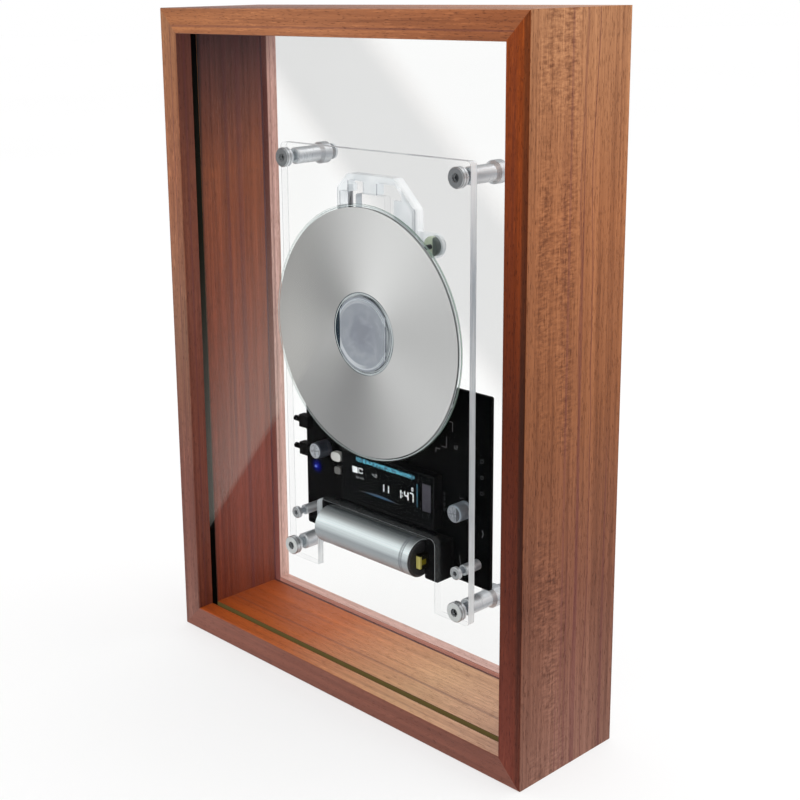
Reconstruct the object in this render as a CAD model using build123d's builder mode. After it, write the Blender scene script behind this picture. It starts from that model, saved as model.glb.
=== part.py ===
from build123d import *
from math import acos, atan2, cos, degrees, hypot, pi, radians, sin, sqrt, tan
import os

os.makedirs("parts", exist_ok=True)

# A compact disc player in a wooden shadow box that hangs on a wall or stands on a shelf.
# X runs to the right, Y to the back and Z up. The origin is at the middle of the underside,
# halfway through the case's depth. All sizes are in millimetres.

# ------------------------------------------------------------------ wooden case
case_width = 229.0
case_height = 320.0
case_depth = 63.0
case_wall = 12.0
case_edge_radius = 0.8
groove_depth = 5.0

# Clear panes that run in the case's grooves
front_pane_thickness = 3.0
front_pane_play = 0.25
front_pane_setback = 8.8
front_pane_end_gap = 0.3
front_pane_sink = 0.5
rear_panel_thickness = 3.0
rear_panel_play = 0.1
rear_panel_setback = 6.8
rear_panel_end_gap = 0.3

# Keyhole plates in the back edges of the two upright members
hanger_width = 10.0
hanger_height = 38.0
hanger_thickness = 1.5
hanger_drop = 35.0
hanger_fit = 0.1
hanger_corner_radius = 1.5
keyhole_entry_radius = 3.75
keyhole_slot_width = 4.0
keyhole_slot_rise = 9.0
keyhole_pocket_depth = 4.4
keyhole_pocket_margin = 0.6
hanger_screw_pitch = 31.0
hanger_screw_length = 12.0
hanger_screw_radius = 1.2
hanger_screw_head_radius = 2.6
hanger_screw_slot_inset = 0.8
hanger_screw_slot_width = 0.7
hanger_screw_slot_depth = 0.6
screw_clearance = 0.05
screw_end_gap = 0.3

# ------------------------------------------------------------------ mounting plate
plate_width = 121.0
plate_height = 210.0
plate_thickness = 4.0
plate_rise = 47.0
plate_corner_radius = 2.0
notch_side_gap = 0.6
notch_top_gap = 2.8
notch_corner_radius = 3.0
plate_window_side_gap = 2.2
plate_window_top_gap = 1.4
plate_window_corner_radius = 1.5

# Chrome standoffs that carry the plate from the rear panel
standoff_inset_x = 5.0
standoff_inset_z = 6.75
standoff_length = 20.9
standoff_radius = 4.0
standoff_flange_radius = 5.25
standoff_flange_length = 5.0
standoff_flare_length = 1.8
standoff_chamfer = 0.5
standoff_screw_radius = 2.0
standoff_screw_grip = 7.5
standoff_hole_depth = 8.5
cap_head_radius = 4.65
cap_head_height = 3.2
cap_head_chamfer = 0.4
cap_socket_flats = 3.4
cap_socket_depth = 1.9
washer_radius = 4.1
washer_thickness = 0.8
hole_clearance = 0.25
rear_screw_head_radius = 3.8
rear_screw_head_height = 2.2
rear_socket_flats = 2.5
rear_socket_depth = 1.2

# ------------------------------------------------------------------ disc, hub and clamp
disc_diameter = 120.0
disc_thickness = 1.2
disc_bore = 15.0
disc_plate_rise = 126.6
disc_plate_gap = 3.9
seat_gap = 0.1

platter_thickness = 1.5
platter_rim = 0.6
platter_ring_inner_radius = 12.6
platter_ring_width = 3.6
platter_ring_thickness = 1.0
platter_ring_stand = 0.4
hub_radius = 7.0
hub_length = 5.0
hub_bore_clearance = 0.1
hub_nose_height = 1.0
hub_nose_taper = 0.5
hub_recess_clearance = 0.4
hub_recess_depth = 2.2
hub_recess_floor = 0.8
spindle_radius = 1.0
running_clearance = 0.05

clamp_diameter = 35.0
clamp_flats = 29.6
clamp_thickness = 1.1
clamp_step_width = 1.3
clamp_step_height = 0.45
clamp_boss_radius = 4.9
clamp_boss_length = 1.9
magnet_wall = 0.9
magnet_thickness = 2.2

# ------------------------------------------------------------------ disc drive deck
deck_plate_gap = 0.5
deck_below = 18.6
deck_depth = 5.8
deck_skirt = 1.5
deck_web_setback = 3.6
deck_web_thickness = 1.4
deck_chamfer_right = 13.0
deck_chamfer_left = 7.0
deck_corner_radius = 2.5
deck_window_end_gap = 0.6
deck_window_skirt_gap = 0.2
deck_motor_gap = 0.45
deck_tab_width = 8.6
deck_tab_centre = -4.7
deck_vent_left = 19.3
deck_vent_right = 12.0
deck_vent_height = 5.6
deck_vent_margin = 1.5
deck_opening_radius = 0.8

ear_gap = 7.2
ear_setback = 1.8
ear_upper = 43.6
ear_lower = -8.0
ear_thickness = 1.9
ear_radius = 5.5
damper_radius = 4.5
damper_neck_radius = 3.0
damper_length = 6.0
damper_fit = 0.1
damper_chamfer = 0.6
deck_screw_radius = 1.1
deck_screw_head_radius = 2.7
deck_screw_head_height = 1.6
deck_screw_grip = 2.6
deck_screw_hole_gap = 0.4
deck_slot_length = 3.0
deck_slot_width = 0.8
deck_slot_depth = 0.9
screw_head_chamfer = 0.6
screw_head_drop = 0.8

# Pickup sled and its way
lens_inner_radius = 23.5
lens_outer_radius = 58.0
sled_below_lens = 11.5
sled_above_lens = 4.2
sled_left = 12.0
sled_step = 3.0
sled_depth = 8.0
sled_front_setback = 1.4
sled_lip_width = 1.6
sled_lip_thickness = 1.2
sled_lip_clearance = 0.2
sled_lip_root = 0.5
sled_lip_end_gap = 3.5
sled_lip_offset = 1.0
sled_side_clearance = 0.3
rail_edge = 7.0
tower_left = 7.0
tower_right = 6.0
tower_below_lens = 5.0
tower_disc_gap = 3.0
lens_bore_depth = 2.0
lens_cover_thickness = 0.8
lens_radius = 2.0
lens_stand = 0.5
lens_ring_gap = 0.6
lens_cover_corner_radius = 1.0
lens_crown_shoulder = 0.6
lens_crown_drop = 0.26
lens_rim_drop = 0.9
pickup_board_thickness = 0.6
pickup_board_inset = 0.8
pickup_board_radius = 0.8
laser_can_radius = 2.6
laser_can_length = 2.6
laser_can_back_margin = 0.4
laser_can_rise = 0.8
laser_seat_rim = 0.6
laser_seat_depth = 2.0
guide_rod_radius = 1.25
guide_rod_offset = 21.8
guide_bush_radius = 2.3
sled_arm_height = 8.0
sled_arm_thickness = 2.6
sled_arm_drop = 1.0
guide_lug_length = 3.4
guide_lug_end = 0.8
window_left_margin = 0.5

# Gears: a rack on the sled, a stepped gear and a motor pinion
rack_module = 0.6
rack_pinion_teeth = 14
drive_module = 0.5
drive_gear_teeth = 24
motor_pinion_teeth = 10
pressure_angle = 20.0
tooth_addendum = 0.8
tooth_dedendum = 1.1
tooth_backlash = 0.12
centre_allowance = 0.05
rack_pitch_line = 9.8
rack_thickness = 1.3
rack_back_width = 2.0
rack_pad_length = 8.0
rack_end_margin = 1.6
rack_pad_gap = 0.1
rack_pad_rise = 1.0
rack_tooth_root = 0.05
rack_web_gap = 0.3
gear_face_width = 1.3
gear_level_gap = 0.2
drive_gear_rise = 20.0
gear_pin_radius = 1.0
gear_pin_cap_radius = 1.8
gear_pin_cap_thickness = 0.3
motor_offset = 1.0

# Motors
spindle_motor_sled_gap = 1.0
spindle_motor_length = 8.0
spindle_motor_front_chamfer = 0.6
spindle_motor_back_chamfer = 1.0
spindle_end_gap = 2.0
spindle_float = 0.4
motor_boss_radius = 3.0
motor_boss_length = 2.8
bearing_radius = 2.0
sled_motor_radius = 6.5
sled_motor_flats = 11.0
sled_motor_length = 9.0
sled_motor_boss_radius = 1.9
sled_motor_boss_setback = 0.2
sled_motor_cap_radius = 2.4
sled_motor_cap_height = 0.8
sled_motor_end_wall = 1.6
motor_shaft_stand = 0.3
motor_shaft_end_gap = 2.0
motor_shaft_radius = 0.75
motor_screw_radius = 0.9
motor_screw_head_radius = 1.6
motor_screw_grip = 2.0
spindle_screw_inset = 3.0
sled_screw_offset = 4.4

# ------------------------------------------------------------------ circuit board
board_overhang = 1.0
board_thickness = 1.6
board_plate_rise = 13.4
board_motor_gap = 10.6
board_plate_gap = 9.5
board_corner_radius = 1.0
spacer_radius = 2.5
spacer_bore_radius = 1.25
spacer_lower_inset = 6.7
spacer_lower_rise = 10.9
spacer_upper_offset = 36.0
spacer_upper_drop = 8.0
board_screw_radius = 1.2
board_screw_grip = 4.0
board_head_radius = 3.0
board_head_height = 1.8
board_head_chamfer = 0.3
board_socket_flats = 2.3
board_socket_depth = 1.1
board_nut_radius = 2.6
board_nut_height = 1.5
board_slot_length = 2.8
board_slot_width = 0.7
board_slot_depth = 0.8

display_width = 62.0
display_height = 26.0
display_stand = 5.6
display_offset = 1.0
display_holder_gap = 3.2
display_glass_thickness = 1.1
display_glass_margin = 1.2
display_rim_drop = 0.2
display_glass_fit = 0.05
display_corner_radius = 0.6

cell_diameter = 18.3
cell_length = 65.0
cell_nub_radius = 3.0
cell_nub_height = 0.6
cell_edge = 1.0
holder_side_margin = 0.45
holder_edge_gap = 0.2
holder_base = 1.7
holder_left_wall = 4.0
holder_right_wall = 8.8
holder_wall_height = 8.6
holder_corner_radius = 0.8
holder_pocket_side_gap = 0.3
holder_rib_end_gap = 0.5
holder_cell_gap = 0.3
holder_rib_inset = 14.0
holder_rib_width = 2.0
holder_rib_height = 3.0
contact_width = 7.0
contact_thickness = 0.4
contact_pocket = 2.6
contact_height = 9.5
contact_gap = 0.05

capacitor_diameter = 8.4
capacitor_base = 1.3
capacitor_plate_gap = 0.4
capacitor_crystal_gap = 0.4
capacitor_display_gap = 11.2
capacitor_left_rise = 43.9
capacitor_right_rise = 36.0
capacitor_groove_depth = 0.35
capacitor_groove_width = 1.2
capacitor_groove_rise = 1.6
capacitor_chamfer = 0.5
capacitor_base_radius = 1.6

switch_width = 6.4
switch_height = 3.8
switch_overhang = 1.5
switch_inset = 5.0
switch_rises = (40.4, 54.9)
button_radius = 1.4
button_stand = 5.2
button_travel = 0.35
button_depth = 4.0
button_clearance = 0.1
button_chamfer = 0.5

socket_width = 9.0
socket_height = 3.2
socket_length = 7.3
socket_wall = 0.4
socket_overhang = 1.0
socket_drop = 11.0
socket_tongue = 0.7
socket_back_wall = 1.5
socket_tongue_end_gap = 0.7
socket_tongue_side_gap = 1.2

led_inset = 7.3
led_rise = 31.8
led_size = (2.0, 1.4, 0.8)
led_corner_radius = 0.3
crystal_display_gap = 3.9
crystal_rise = 41.2
crystal_size = (7.0, 4.6, 2.6)
crystal_corner_radius = 2.2
inductor_display_gap = 4.8
inductor_rise = 34.0
inductor_size = (4.4, 3.6, 2.0)
inductor_corner_radius = 1.0
servo_chip_offset = 17.5
servo_chip_rise = 46.0
servo_chip_size = (14.0, 14.0, 1.4)
radio_module_inset = 13.0
radio_module_drop = 29.6
radio_module_size = (17.0, 13.0, 2.2)
power_chip_inset = 43.5
power_chip_rise = 30.0
power_chip_size = (6.2, 5.0, 1.5)
chip_corner_radius = 0.4
chip_chamfer = 0.25
chip_lead_root = 0.2
chip_lead_length = 1.1
chip_lead_width = 0.5
chip_lead_thickness = 0.3
chip_leads_per_side = 8

ribbon_width = 12.0
ribbon_offset = -4.5
ribbon_thickness = 0.3
ribbon_motor_gap = 3.15
ribbon_contact_gap = 0.1
ribbon_connector_height = 5.0
ribbon_connector_depth = 2.2
ribbon_connector_side = 1.4
ribbon_connector_drop = 3.0
ribbon_slot_gap = 0.1
ribbon_insertion = 3.0
ribbon_overlap = 3.4
ribbon_rise = 4.6
ribbon_slope_height = 5.6
ribbon_foot_length = 3.0
ribbon_turn_height = 10.0
ribbon_bend_radius = 2.2
ribbon_head_radius = 1.2

# ------------------------------------------------------------------ places worked out from the sizes
half_width = case_width / 2
inner_half_width = half_width - case_wall
inner_height = case_height - 2 * case_wall
case_front = -case_depth / 2
case_back = case_depth / 2
groove_span_x = 2 * (inner_half_width + groove_depth)
groove_span_z = inner_height + 2 * groove_depth

front_groove_width = front_pane_thickness + 2 * front_pane_play
front_groove_front = case_front + front_pane_setback
front_groove_back = front_groove_front + front_groove_width
front_pane_back = front_groove_back - front_pane_play
front_pane_bottom = case_wall - groove_depth + front_pane_end_gap
front_pane_top = case_height - front_pane_sink

rear_groove_width = rear_panel_thickness + 2 * rear_panel_play
rear_groove_back = case_back - rear_panel_setback
rear_panel_back = rear_groove_back - rear_panel_play
rear_panel_front = rear_panel_back - rear_panel_thickness

plate_back = rear_panel_front - standoff_length
plate_front = plate_back - plate_thickness
plate_top = plate_rise + plate_height
standoff_x = plate_width / 2 - standoff_inset_x
standoff_z = (plate_rise + standoff_inset_z, plate_top - standoff_inset_z)
standoff_places = [(x, z) for x in (-standoff_x, standoff_x) for z in standoff_z]

disc_centre_rise = plate_rise + disc_plate_rise
disc_back = plate_front - disc_plate_gap
disc_front = disc_back - disc_thickness
clamp_back = disc_front - seat_gap
clamp_front = clamp_back - clamp_thickness
platter_radius = platter_ring_inner_radius + platter_ring_width + platter_rim
platter_seat = disc_back + seat_gap
platter_front = platter_seat + platter_ring_stand
platter_back = platter_front + platter_thickness
hub_back = platter_back + hub_length

deck_front = plate_back + deck_plate_gap
deck_back = deck_front + deck_depth
web_front = deck_front + deck_web_setback
web_back = web_front + deck_web_thickness
window_bottom = disc_centre_rise + lens_inner_radius - sled_below_lens - deck_window_end_gap
window_top = disc_centre_rise + lens_outer_radius + sled_above_lens + deck_window_end_gap

lens_rise = disc_centre_rise + lens_inner_radius
lens_travel = lens_outer_radius - lens_inner_radius
sled_front = deck_front + sled_front_setback
sled_back = sled_front + sled_depth
tower_front = disc_back + tower_disc_gap
lens_cover_front = tower_front - lens_cover_thickness
guide_rod_y = (web_front + web_back) / 2

rack_back_y = web_front - rack_web_gap
rack_front_y = rack_back_y - rack_thickness
drive_gear_back_y = rack_front_y - gear_level_gap
drive_gear_front_y = drive_gear_back_y - gear_face_width
rack_pinion_radius = rack_module * rack_pinion_teeth / 2
drive_gear_radius = drive_module * drive_gear_teeth / 2
motor_pinion_radius = drive_module * motor_pinion_teeth / 2
drive_gear_x = rack_pitch_line + rack_pinion_radius + centre_allowance
drive_gear_z = disc_centre_rise + drive_gear_rise
gear_centres = drive_gear_radius + motor_pinion_radius + centre_allowance
motor_x = drive_gear_x + motor_offset
motor_z = drive_gear_z - sqrt(gear_centres**2 - motor_offset**2)
spindle_motor_radius = lens_inner_radius - sled_below_lens - spindle_motor_sled_gap
spindle_screw_offset = spindle_motor_radius - spindle_screw_inset
spindle_motor_back = web_back + spindle_motor_length
motor_screw_places = [(0, disc_centre_rise + end * spindle_screw_offset) for end in (-1, 1)]
motor_screw_places += [(motor_x + end * sled_screw_offset, motor_z) for end in (-1, 1)]

deck_left = guide_rod_offset + guide_bush_radius + window_left_margin
deck_left += deck_window_skirt_gap + deck_skirt
deck_right = motor_x + sled_motor_radius + deck_motor_gap + deck_skirt
deck_bottom = disc_centre_rise - deck_below
vent_top = window_top + deck_vent_height
deck_top = vent_top + deck_vent_margin + deck_skirt
ear_reach = max(deck_left, deck_right) + ear_gap
ear_places = [
    (side * ear_reach, disc_centre_rise + rise)
    for side in (-1, 1)
    for rise in (ear_lower, ear_upper)
]

board_width = plate_width + 2 * board_overhang
board_rise = plate_rise + board_plate_rise
board_top = disc_centre_rise - spindle_motor_radius - board_motor_gap
board_height = board_top - board_rise
board_front = plate_back + board_plate_gap
board_back = board_front + board_thickness
board_left = -board_width / 2
spacer_lower_place = (plate_width / 2 - spacer_lower_inset, board_rise + spacer_lower_rise)
spacer_upper_place = (spacer_upper_offset, board_top - spacer_upper_drop)
spacer_places = [
    (side * x, z) for x, z in (spacer_lower_place, spacer_upper_place) for side in (-1, 1)
]
cell_radius = cell_diameter / 2
cell_axis_y = board_front - holder_base - holder_cell_gap - cell_radius
holder_height = cell_diameter + 2 * holder_side_margin
holder_bottom = board_rise + holder_edge_gap
cell_axis_z = holder_bottom + holder_height / 2
holder_width = holder_left_wall + cell_length + cell_nub_height + holder_right_wall
holder_left = -holder_width / 2
holder_right = holder_width / 2
cell_start = holder_left + holder_left_wall
cell_end = cell_start + cell_length

display_front = board_front - display_stand
display_bottom = holder_bottom + holder_height + display_holder_gap
display_left = display_offset - display_width / 2
display_right = display_offset + display_width / 2
crystal_x = display_left - crystal_display_gap - crystal_size[0] / 2
inductor_x = display_left - inductor_display_gap - inductor_size[0] / 2
capacitor_left_x = crystal_x - (crystal_size[0] + capacitor_diameter) / 2 - capacitor_crystal_gap
capacitor_right_x = display_right + capacitor_display_gap + capacitor_diameter / 2


# ------------------------------------------------------------------ helpers
def across(y):
    """The upright plane at depth y: its x is X and its y is Z, and an extrusion runs forwards."""
    return Plane.XZ.offset(-y)


def save(piece, label):
    """Name a finished piece and write its file."""
    piece.part.label = label
    export_step(piece.part, f"parts/{label}.step")


def slab(front, back, x, z, width, height, radius=0.0, mode=Mode.ADD):
    """A block with upright faces from front to back, centred on (x, z), with rounded corners."""
    with BuildSketch(across(back)) as outline:
        with Locations((x, z)):
            if radius > 0:
                RectangleRounded(width, height, radius)
            else:
                Rectangle(width, height)
    extrude(outline.sketch, amount=back - front, mode=mode)


def turn(x, z, outline, mode=Mode.ADD):
    """A turned shape about the Y axis through (x, z), from its outline of (radius, y) points."""
    with BuildSketch(Plane(origin=(x, 0, z), x_dir=(1, 0, 0), z_dir=(0, 0, 1))) as profile:
        with BuildLine():
            Polyline(*outline, close=True)
        make_face()
    revolve(profile.sketch, axis=Axis((x, 0, z), (0, 1, 0)), mode=mode)


def rod(x, z, radius, front, back, mode=Mode.ADD):
    """A plain cylinder along Y."""
    turn(x, z, [(0, front), (radius, front), (radius, back), (0, back)], mode)


def cap_screw(x, z, head_front, head, height, chamfer_size, flats, depth, shank, shank_end):
    """A socket head cap screw that points to the back, with its hexagon socket in front."""
    head_back = head_front + height
    turn(x, z, [
        (0, head_front),
        (head - chamfer_size, head_front),
        (head, head_front + chamfer_size),
        (head, head_back),
        (shank, head_back),
        (shank, shank_end),
        (0, shank_end),
    ])
    with BuildSketch(across(head_front + depth)) as socket:
        with Locations((x, z)):
            RegularPolygon(flats / 2, 6, major_radius=False)
    extrude(socket.sketch, amount=depth + 1, mode=Mode.SUBTRACT)


def cross_slot(x, z, head_back, length, width, depth):
    """A cross cut into the back of a screw's head."""
    for across_x, across_z in ((length, width), (width, length)):
        slab(head_back - depth, head_back + 1, x, z, across_x, across_z, mode=Mode.SUBTRACT)


def involute_angle(angle):
    return tan(angle) - angle


def tooth_profile(teeth, module, middle):
    """Points of a spur gear's outline round its own centre, with one tooth's middle at an angle."""
    pitch_radius = module * teeth / 2
    pressure = radians(pressure_angle)
    base_radius = pitch_radius * cos(pressure)
    root_radius = pitch_radius - tooth_dedendum * module
    tip_radius = pitch_radius + tooth_addendum * module
    half_tooth = (pi * module / 2 - tooth_backlash) / (2 * pitch_radius)

    def half_angle(radius):
        reach = acos(min(1.0, base_radius / radius))
        return half_tooth + involute_angle(pressure) - involute_angle(reach)

    flank = [(r, half_angle(r)) for r in (root_radius, pitch_radius, tip_radius)]
    points = []
    for tooth in range(teeth):
        centre = middle + 2 * pi * tooth / teeth
        for radius, half in flank:
            points.append((radius * cos(centre - half), radius * sin(centre - half)))
        for radius, half in reversed(flank):
            points.append((radius * cos(centre + half), radius * sin(centre + half)))
    return points


def spur_gear(x, z, front, back, teeth, module, middle):
    """A spur gear on the Y axis through (x, z)."""
    points = [(x + u, z + v) for u, v in tooth_profile(teeth, module, middle)]
    with BuildSketch(across(back)) as wheel:
        with BuildLine():
            Polyline(*points, close=True)
        make_face()
    extrude(wheel.sketch, amount=back - front)


# ------------------------------------------------------------------ wooden case
member_outlines = {
    "bottom_rail": [
        (-half_width, 0),
        (half_width, 0),
        (inner_half_width, case_wall),
        (-inner_half_width, case_wall),
    ],
    "top_rail": [
        (-half_width, case_height),
        (half_width, case_height),
        (inner_half_width, case_height - case_wall),
        (-inner_half_width, case_height - case_wall),
    ],
    "left_stile": [
        (-half_width, 0),
        (-inner_half_width, case_wall),
        (-inner_half_width, case_height - case_wall),
        (-half_width, case_height),
    ],
    "right_stile": [
        (half_width, 0),
        (inner_half_width, case_wall),
        (inner_half_width, case_height - case_wall),
        (half_width, case_height),
    ],
}
stile_middle = half_width - case_wall / 2
hanger_z = case_height - hanger_drop
hanger_front = case_back - hanger_thickness
keyhole_entry_z = hanger_z - keyhole_slot_rise / 2
keyhole_pocket_width = 2 * (keyhole_entry_radius + keyhole_pocket_margin)
keyhole_pocket_height = keyhole_slot_rise + 2 * (keyhole_entry_radius + keyhole_pocket_margin)
hanger_screw_places = [
    (side * stile_middle, hanger_z + end * hanger_screw_pitch / 2)
    for side in (-1, 1)
    for end in (-1, 1)
]

for label, outline in member_outlines.items():
    grain = Axis.X if label.endswith("rail") else Axis.Z
    with BuildPart() as member:
        with BuildSketch(across(case_back)):
            with BuildLine():
                Polyline(*outline, close=True)
            make_face()
        extrude(amount=case_depth)
        fillet(member.edges().filter_by(grain), radius=case_edge_radius)
        # the grooves for the two panes run round all four inner faces
        middle = case_height / 2
        slab(front_groove_front, front_groove_back, 0, middle, groove_span_x, groove_span_z,
             mode=Mode.SUBTRACT)
        slab(rear_groove_back - rear_groove_width, rear_groove_back, 0, middle,
             groove_span_x, groove_span_z, mode=Mode.SUBTRACT)
        if label == "top_rail":
            # the front pane is lifted out through the top
            slab(front_groove_front, front_groove_back, 0, case_height,
                 groove_span_x, 2 * case_wall, mode=Mode.SUBTRACT)
        if label.endswith("stile"):
            side = -1 if label.startswith("left") else 1
            slab(hanger_front, case_back + 1, side * stile_middle, hanger_z,
                 hanger_width + 2 * hanger_fit, hanger_height + 2 * hanger_fit,
                 mode=Mode.SUBTRACT)
            slab(hanger_front - keyhole_pocket_depth, case_back + 1,
                 side * stile_middle, hanger_z,
                 keyhole_pocket_width, keyhole_pocket_height, mode=Mode.SUBTRACT)
            for x, z in hanger_screw_places:
                if x * side > 0:
                    rod(x, z, hanger_screw_radius + screw_clearance,
                        case_back - hanger_screw_length - 1, case_back + 1, Mode.SUBTRACT)
    save(member, label)

# The front pane lifts straight up in its grooves. The rear panel stays in the case.
with BuildPart() as front_pane:
    slab(
        front_pane_back - front_pane_thickness, front_pane_back,
        0, (front_pane_bottom + front_pane_top) / 2,
        groove_span_x - 2 * front_pane_end_gap, front_pane_top - front_pane_bottom,
    )
save(front_pane, "front_pane")

with BuildPart() as rear_panel:
    slab(rear_panel_front, rear_panel_back, 0, case_height / 2,
         groove_span_x - 2 * rear_panel_end_gap, groove_span_z - 2 * rear_panel_end_gap)
    for x, z in standoff_places:
        rod(x, z, standoff_screw_radius + hole_clearance,
            rear_panel_front - 1, rear_panel_back + 1, Mode.SUBTRACT)
save(rear_panel, "rear_panel")

with BuildPart() as hanger_plates:
    for side in (-1, 1):
        x = side * stile_middle
        slab(hanger_front, case_back, x, hanger_z, hanger_width, hanger_height,
             hanger_corner_radius)
        rod(x, keyhole_entry_z, keyhole_entry_radius, hanger_front - 1, case_back + 1,
            Mode.SUBTRACT)
        rod(x, keyhole_entry_z + keyhole_slot_rise, keyhole_slot_width / 2,
            hanger_front - 1, case_back + 1, Mode.SUBTRACT)
        slab(hanger_front - 1, case_back + 1, x, keyhole_entry_z + keyhole_slot_rise / 2,
             keyhole_slot_width, keyhole_slot_rise, mode=Mode.SUBTRACT)
    for x, z in hanger_screw_places:
        hole = hanger_screw_radius + screw_clearance
        rim = hanger_screw_head_radius + screw_clearance
        turn(x, z, [
            (0, hanger_front - 1),
            (hole, hanger_front - 1),
            (hole, case_back - rim + hole),
            (rim, case_back),
            (rim, case_back + 1),
            (0, case_back + 1),
        ], Mode.SUBTRACT)
save(hanger_plates, "hanger_plates")

with BuildPart() as hanger_screws:
    for x, z in hanger_screw_places:
        cone = hanger_screw_head_radius - hanger_screw_radius
        tip = case_back - hanger_screw_length
        turn(x, z, [
            (0, tip),
            (hanger_screw_radius, tip + 2 * hanger_screw_radius),
            (hanger_screw_radius, case_back - cone),
            (hanger_screw_head_radius, case_back),
            (0, case_back),
        ])
        slab(case_back - hanger_screw_slot_depth, case_back + 1, x, z,
             2 * (hanger_screw_head_radius - hanger_screw_slot_inset), hanger_screw_slot_width,
             mode=Mode.SUBTRACT)
save(hanger_screws, "hanger_screws")

# ------------------------------------------------------------------ mounting plate and standoffs
spindle_z = disc_centre_rise
plate_window_half = tower_left + plate_window_side_gap
plate_window_top = disc_centre_rise + lens_outer_radius + sled_above_lens + plate_window_top_gap
notch_width = holder_width + 2 * notch_side_gap
notch_top = holder_bottom + holder_height + notch_top_gap
notch_height = notch_top - plate_rise

with BuildPart() as mounting_plate:
    slab(plate_front, plate_back, 0, (plate_rise + plate_top) / 2,
         plate_width, plate_height, plate_corner_radius)
    # the notch lets the battery stand through the plate
    slab(plate_front - 1, plate_back + 1, 0, notch_top - notch_height / 2 - notch_corner_radius,
         notch_width, notch_height + 2 * notch_corner_radius, notch_corner_radius,
         Mode.SUBTRACT)
    # the window for the hub and the travelling lens
    rod(0, spindle_z, plate_window_half, plate_front - 1, plate_back + 1, Mode.SUBTRACT)
    slab(plate_front - 1, plate_back + 1, 0, (spindle_z + plate_window_top) / 2,
         2 * plate_window_half, plate_window_top - spindle_z, plate_window_corner_radius,
         Mode.SUBTRACT)
    for x, z in standoff_places:
        rod(x, z, standoff_screw_radius + hole_clearance, plate_front - 1, plate_back + 1,
            Mode.SUBTRACT)
    for x, z in spacer_places:
        rod(x, z, board_screw_radius + hole_clearance, plate_front - 1, plate_back + 1,
            Mode.SUBTRACT)
    for x, z in ear_places:
        rod(x, z, deck_screw_radius + screw_clearance,
            plate_back - deck_screw_grip - deck_screw_hole_gap, plate_back + 1, Mode.SUBTRACT)
save(mounting_plate, "mounting_plate")

with BuildPart() as standoffs:
    for x, z in standoff_places:
        flange_front = rear_panel_front - standoff_flange_length
        edge = standoff_flange_radius - standoff_chamfer
        turn(x, z, [
            (0, plate_back),
            (standoff_radius - standoff_chamfer, plate_back),
            (standoff_radius, plate_back + standoff_chamfer),
            (standoff_radius, flange_front - standoff_flare_length),
            (standoff_flange_radius, flange_front),
            (standoff_flange_radius, rear_panel_front - standoff_chamfer),
            (edge, rear_panel_front),
            (0, rear_panel_front),
        ])
        bore = standoff_screw_radius + screw_clearance
        rod(x, z, bore, plate_back - 1, plate_back + standoff_hole_depth, Mode.SUBTRACT)
        rod(x, z, bore, rear_panel_front - standoff_hole_depth, rear_panel_front + 1,
            Mode.SUBTRACT)
save(standoffs, "standoffs")

with BuildPart() as standoff_washers:
    for x, z in standoff_places:
        rod(x, z, washer_radius, plate_front - washer_thickness, plate_front)
        rod(x, z, standoff_screw_radius + hole_clearance,
            plate_front - washer_thickness - 1, plate_front + 1, Mode.SUBTRACT)
save(standoff_washers, "standoff_washers")

with BuildPart() as standoff_cap_screws:
    for x, z in standoff_places:
        cap_screw(x, z, plate_front - washer_thickness - cap_head_height,
                  cap_head_radius, cap_head_height, cap_head_chamfer,
                  cap_socket_flats, cap_socket_depth,
                  standoff_screw_radius, plate_back + standoff_screw_grip)
save(standoff_cap_screws, "standoff_cap_screws")

with BuildPart() as rear_panel_screws:
    for x, z in standoff_places:
        head_back = rear_panel_back + rear_screw_head_height
        dome = rear_screw_head_height / 2
        turn(x, z, [
            (0, head_back),
            (rear_screw_head_radius - dome, head_back),
            (rear_screw_head_radius, head_back - dome),
            (rear_screw_head_radius, rear_panel_back),
            (standoff_screw_radius, rear_panel_back),
            (standoff_screw_radius, rear_panel_front - standoff_screw_grip),
            (0, rear_panel_front - standoff_screw_grip),
        ])
        with BuildSketch(across(head_back + 1)) as socket:
            with Locations((x, z)):
                RegularPolygon(rear_socket_flats / 2, 6, major_radius=False)
        extrude(socket.sketch, amount=rear_socket_depth + 1, mode=Mode.SUBTRACT)
save(rear_panel_screws, "rear_panel_screws")

# ------------------------------------------------------------------ disc, hub and clamp
with BuildPart() as compact_disc:
    rod(0, spindle_z, disc_diameter / 2, disc_front, disc_back)
    rod(0, spindle_z, disc_bore / 2, disc_front - 1, disc_back + 1, Mode.SUBTRACT)
save(compact_disc, "compact_disc")

nose_radius = disc_bore / 2 - hub_bore_clearance
nose_front = disc_back - hub_nose_height
shaft_front = nose_front + hub_recess_depth + hub_recess_floor
with BuildPart() as turntable:
    ring_outer = platter_ring_inner_radius + platter_ring_width
    turn(0, spindle_z, [
        (0, nose_front),
        (nose_radius - hub_nose_taper, nose_front),
        (nose_radius, nose_front + hub_nose_taper),
        (nose_radius, platter_front),
        (platter_radius, platter_front),
        (platter_radius, platter_back),
        (hub_radius, platter_back),
        (hub_radius, hub_back),
        (0, hub_back),
    ])
    turn(0, spindle_z, [
        (platter_ring_inner_radius, platter_front - 1),
        (ring_outer, platter_front - 1),
        (ring_outer, platter_front - platter_ring_stand + platter_ring_thickness),
        (platter_ring_inner_radius, platter_front - platter_ring_stand + platter_ring_thickness),
    ], Mode.SUBTRACT)
    # a recess in the nose takes the clamp's boss, and the shaft is pressed in from behind
    rod(0, spindle_z, clamp_boss_radius + hub_recess_clearance,
        nose_front - 1, nose_front + hub_recess_depth, Mode.SUBTRACT)
    rod(0, spindle_z, spindle_radius, shaft_front, hub_back + 1, Mode.SUBTRACT)
save(turntable, "turntable")

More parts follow.
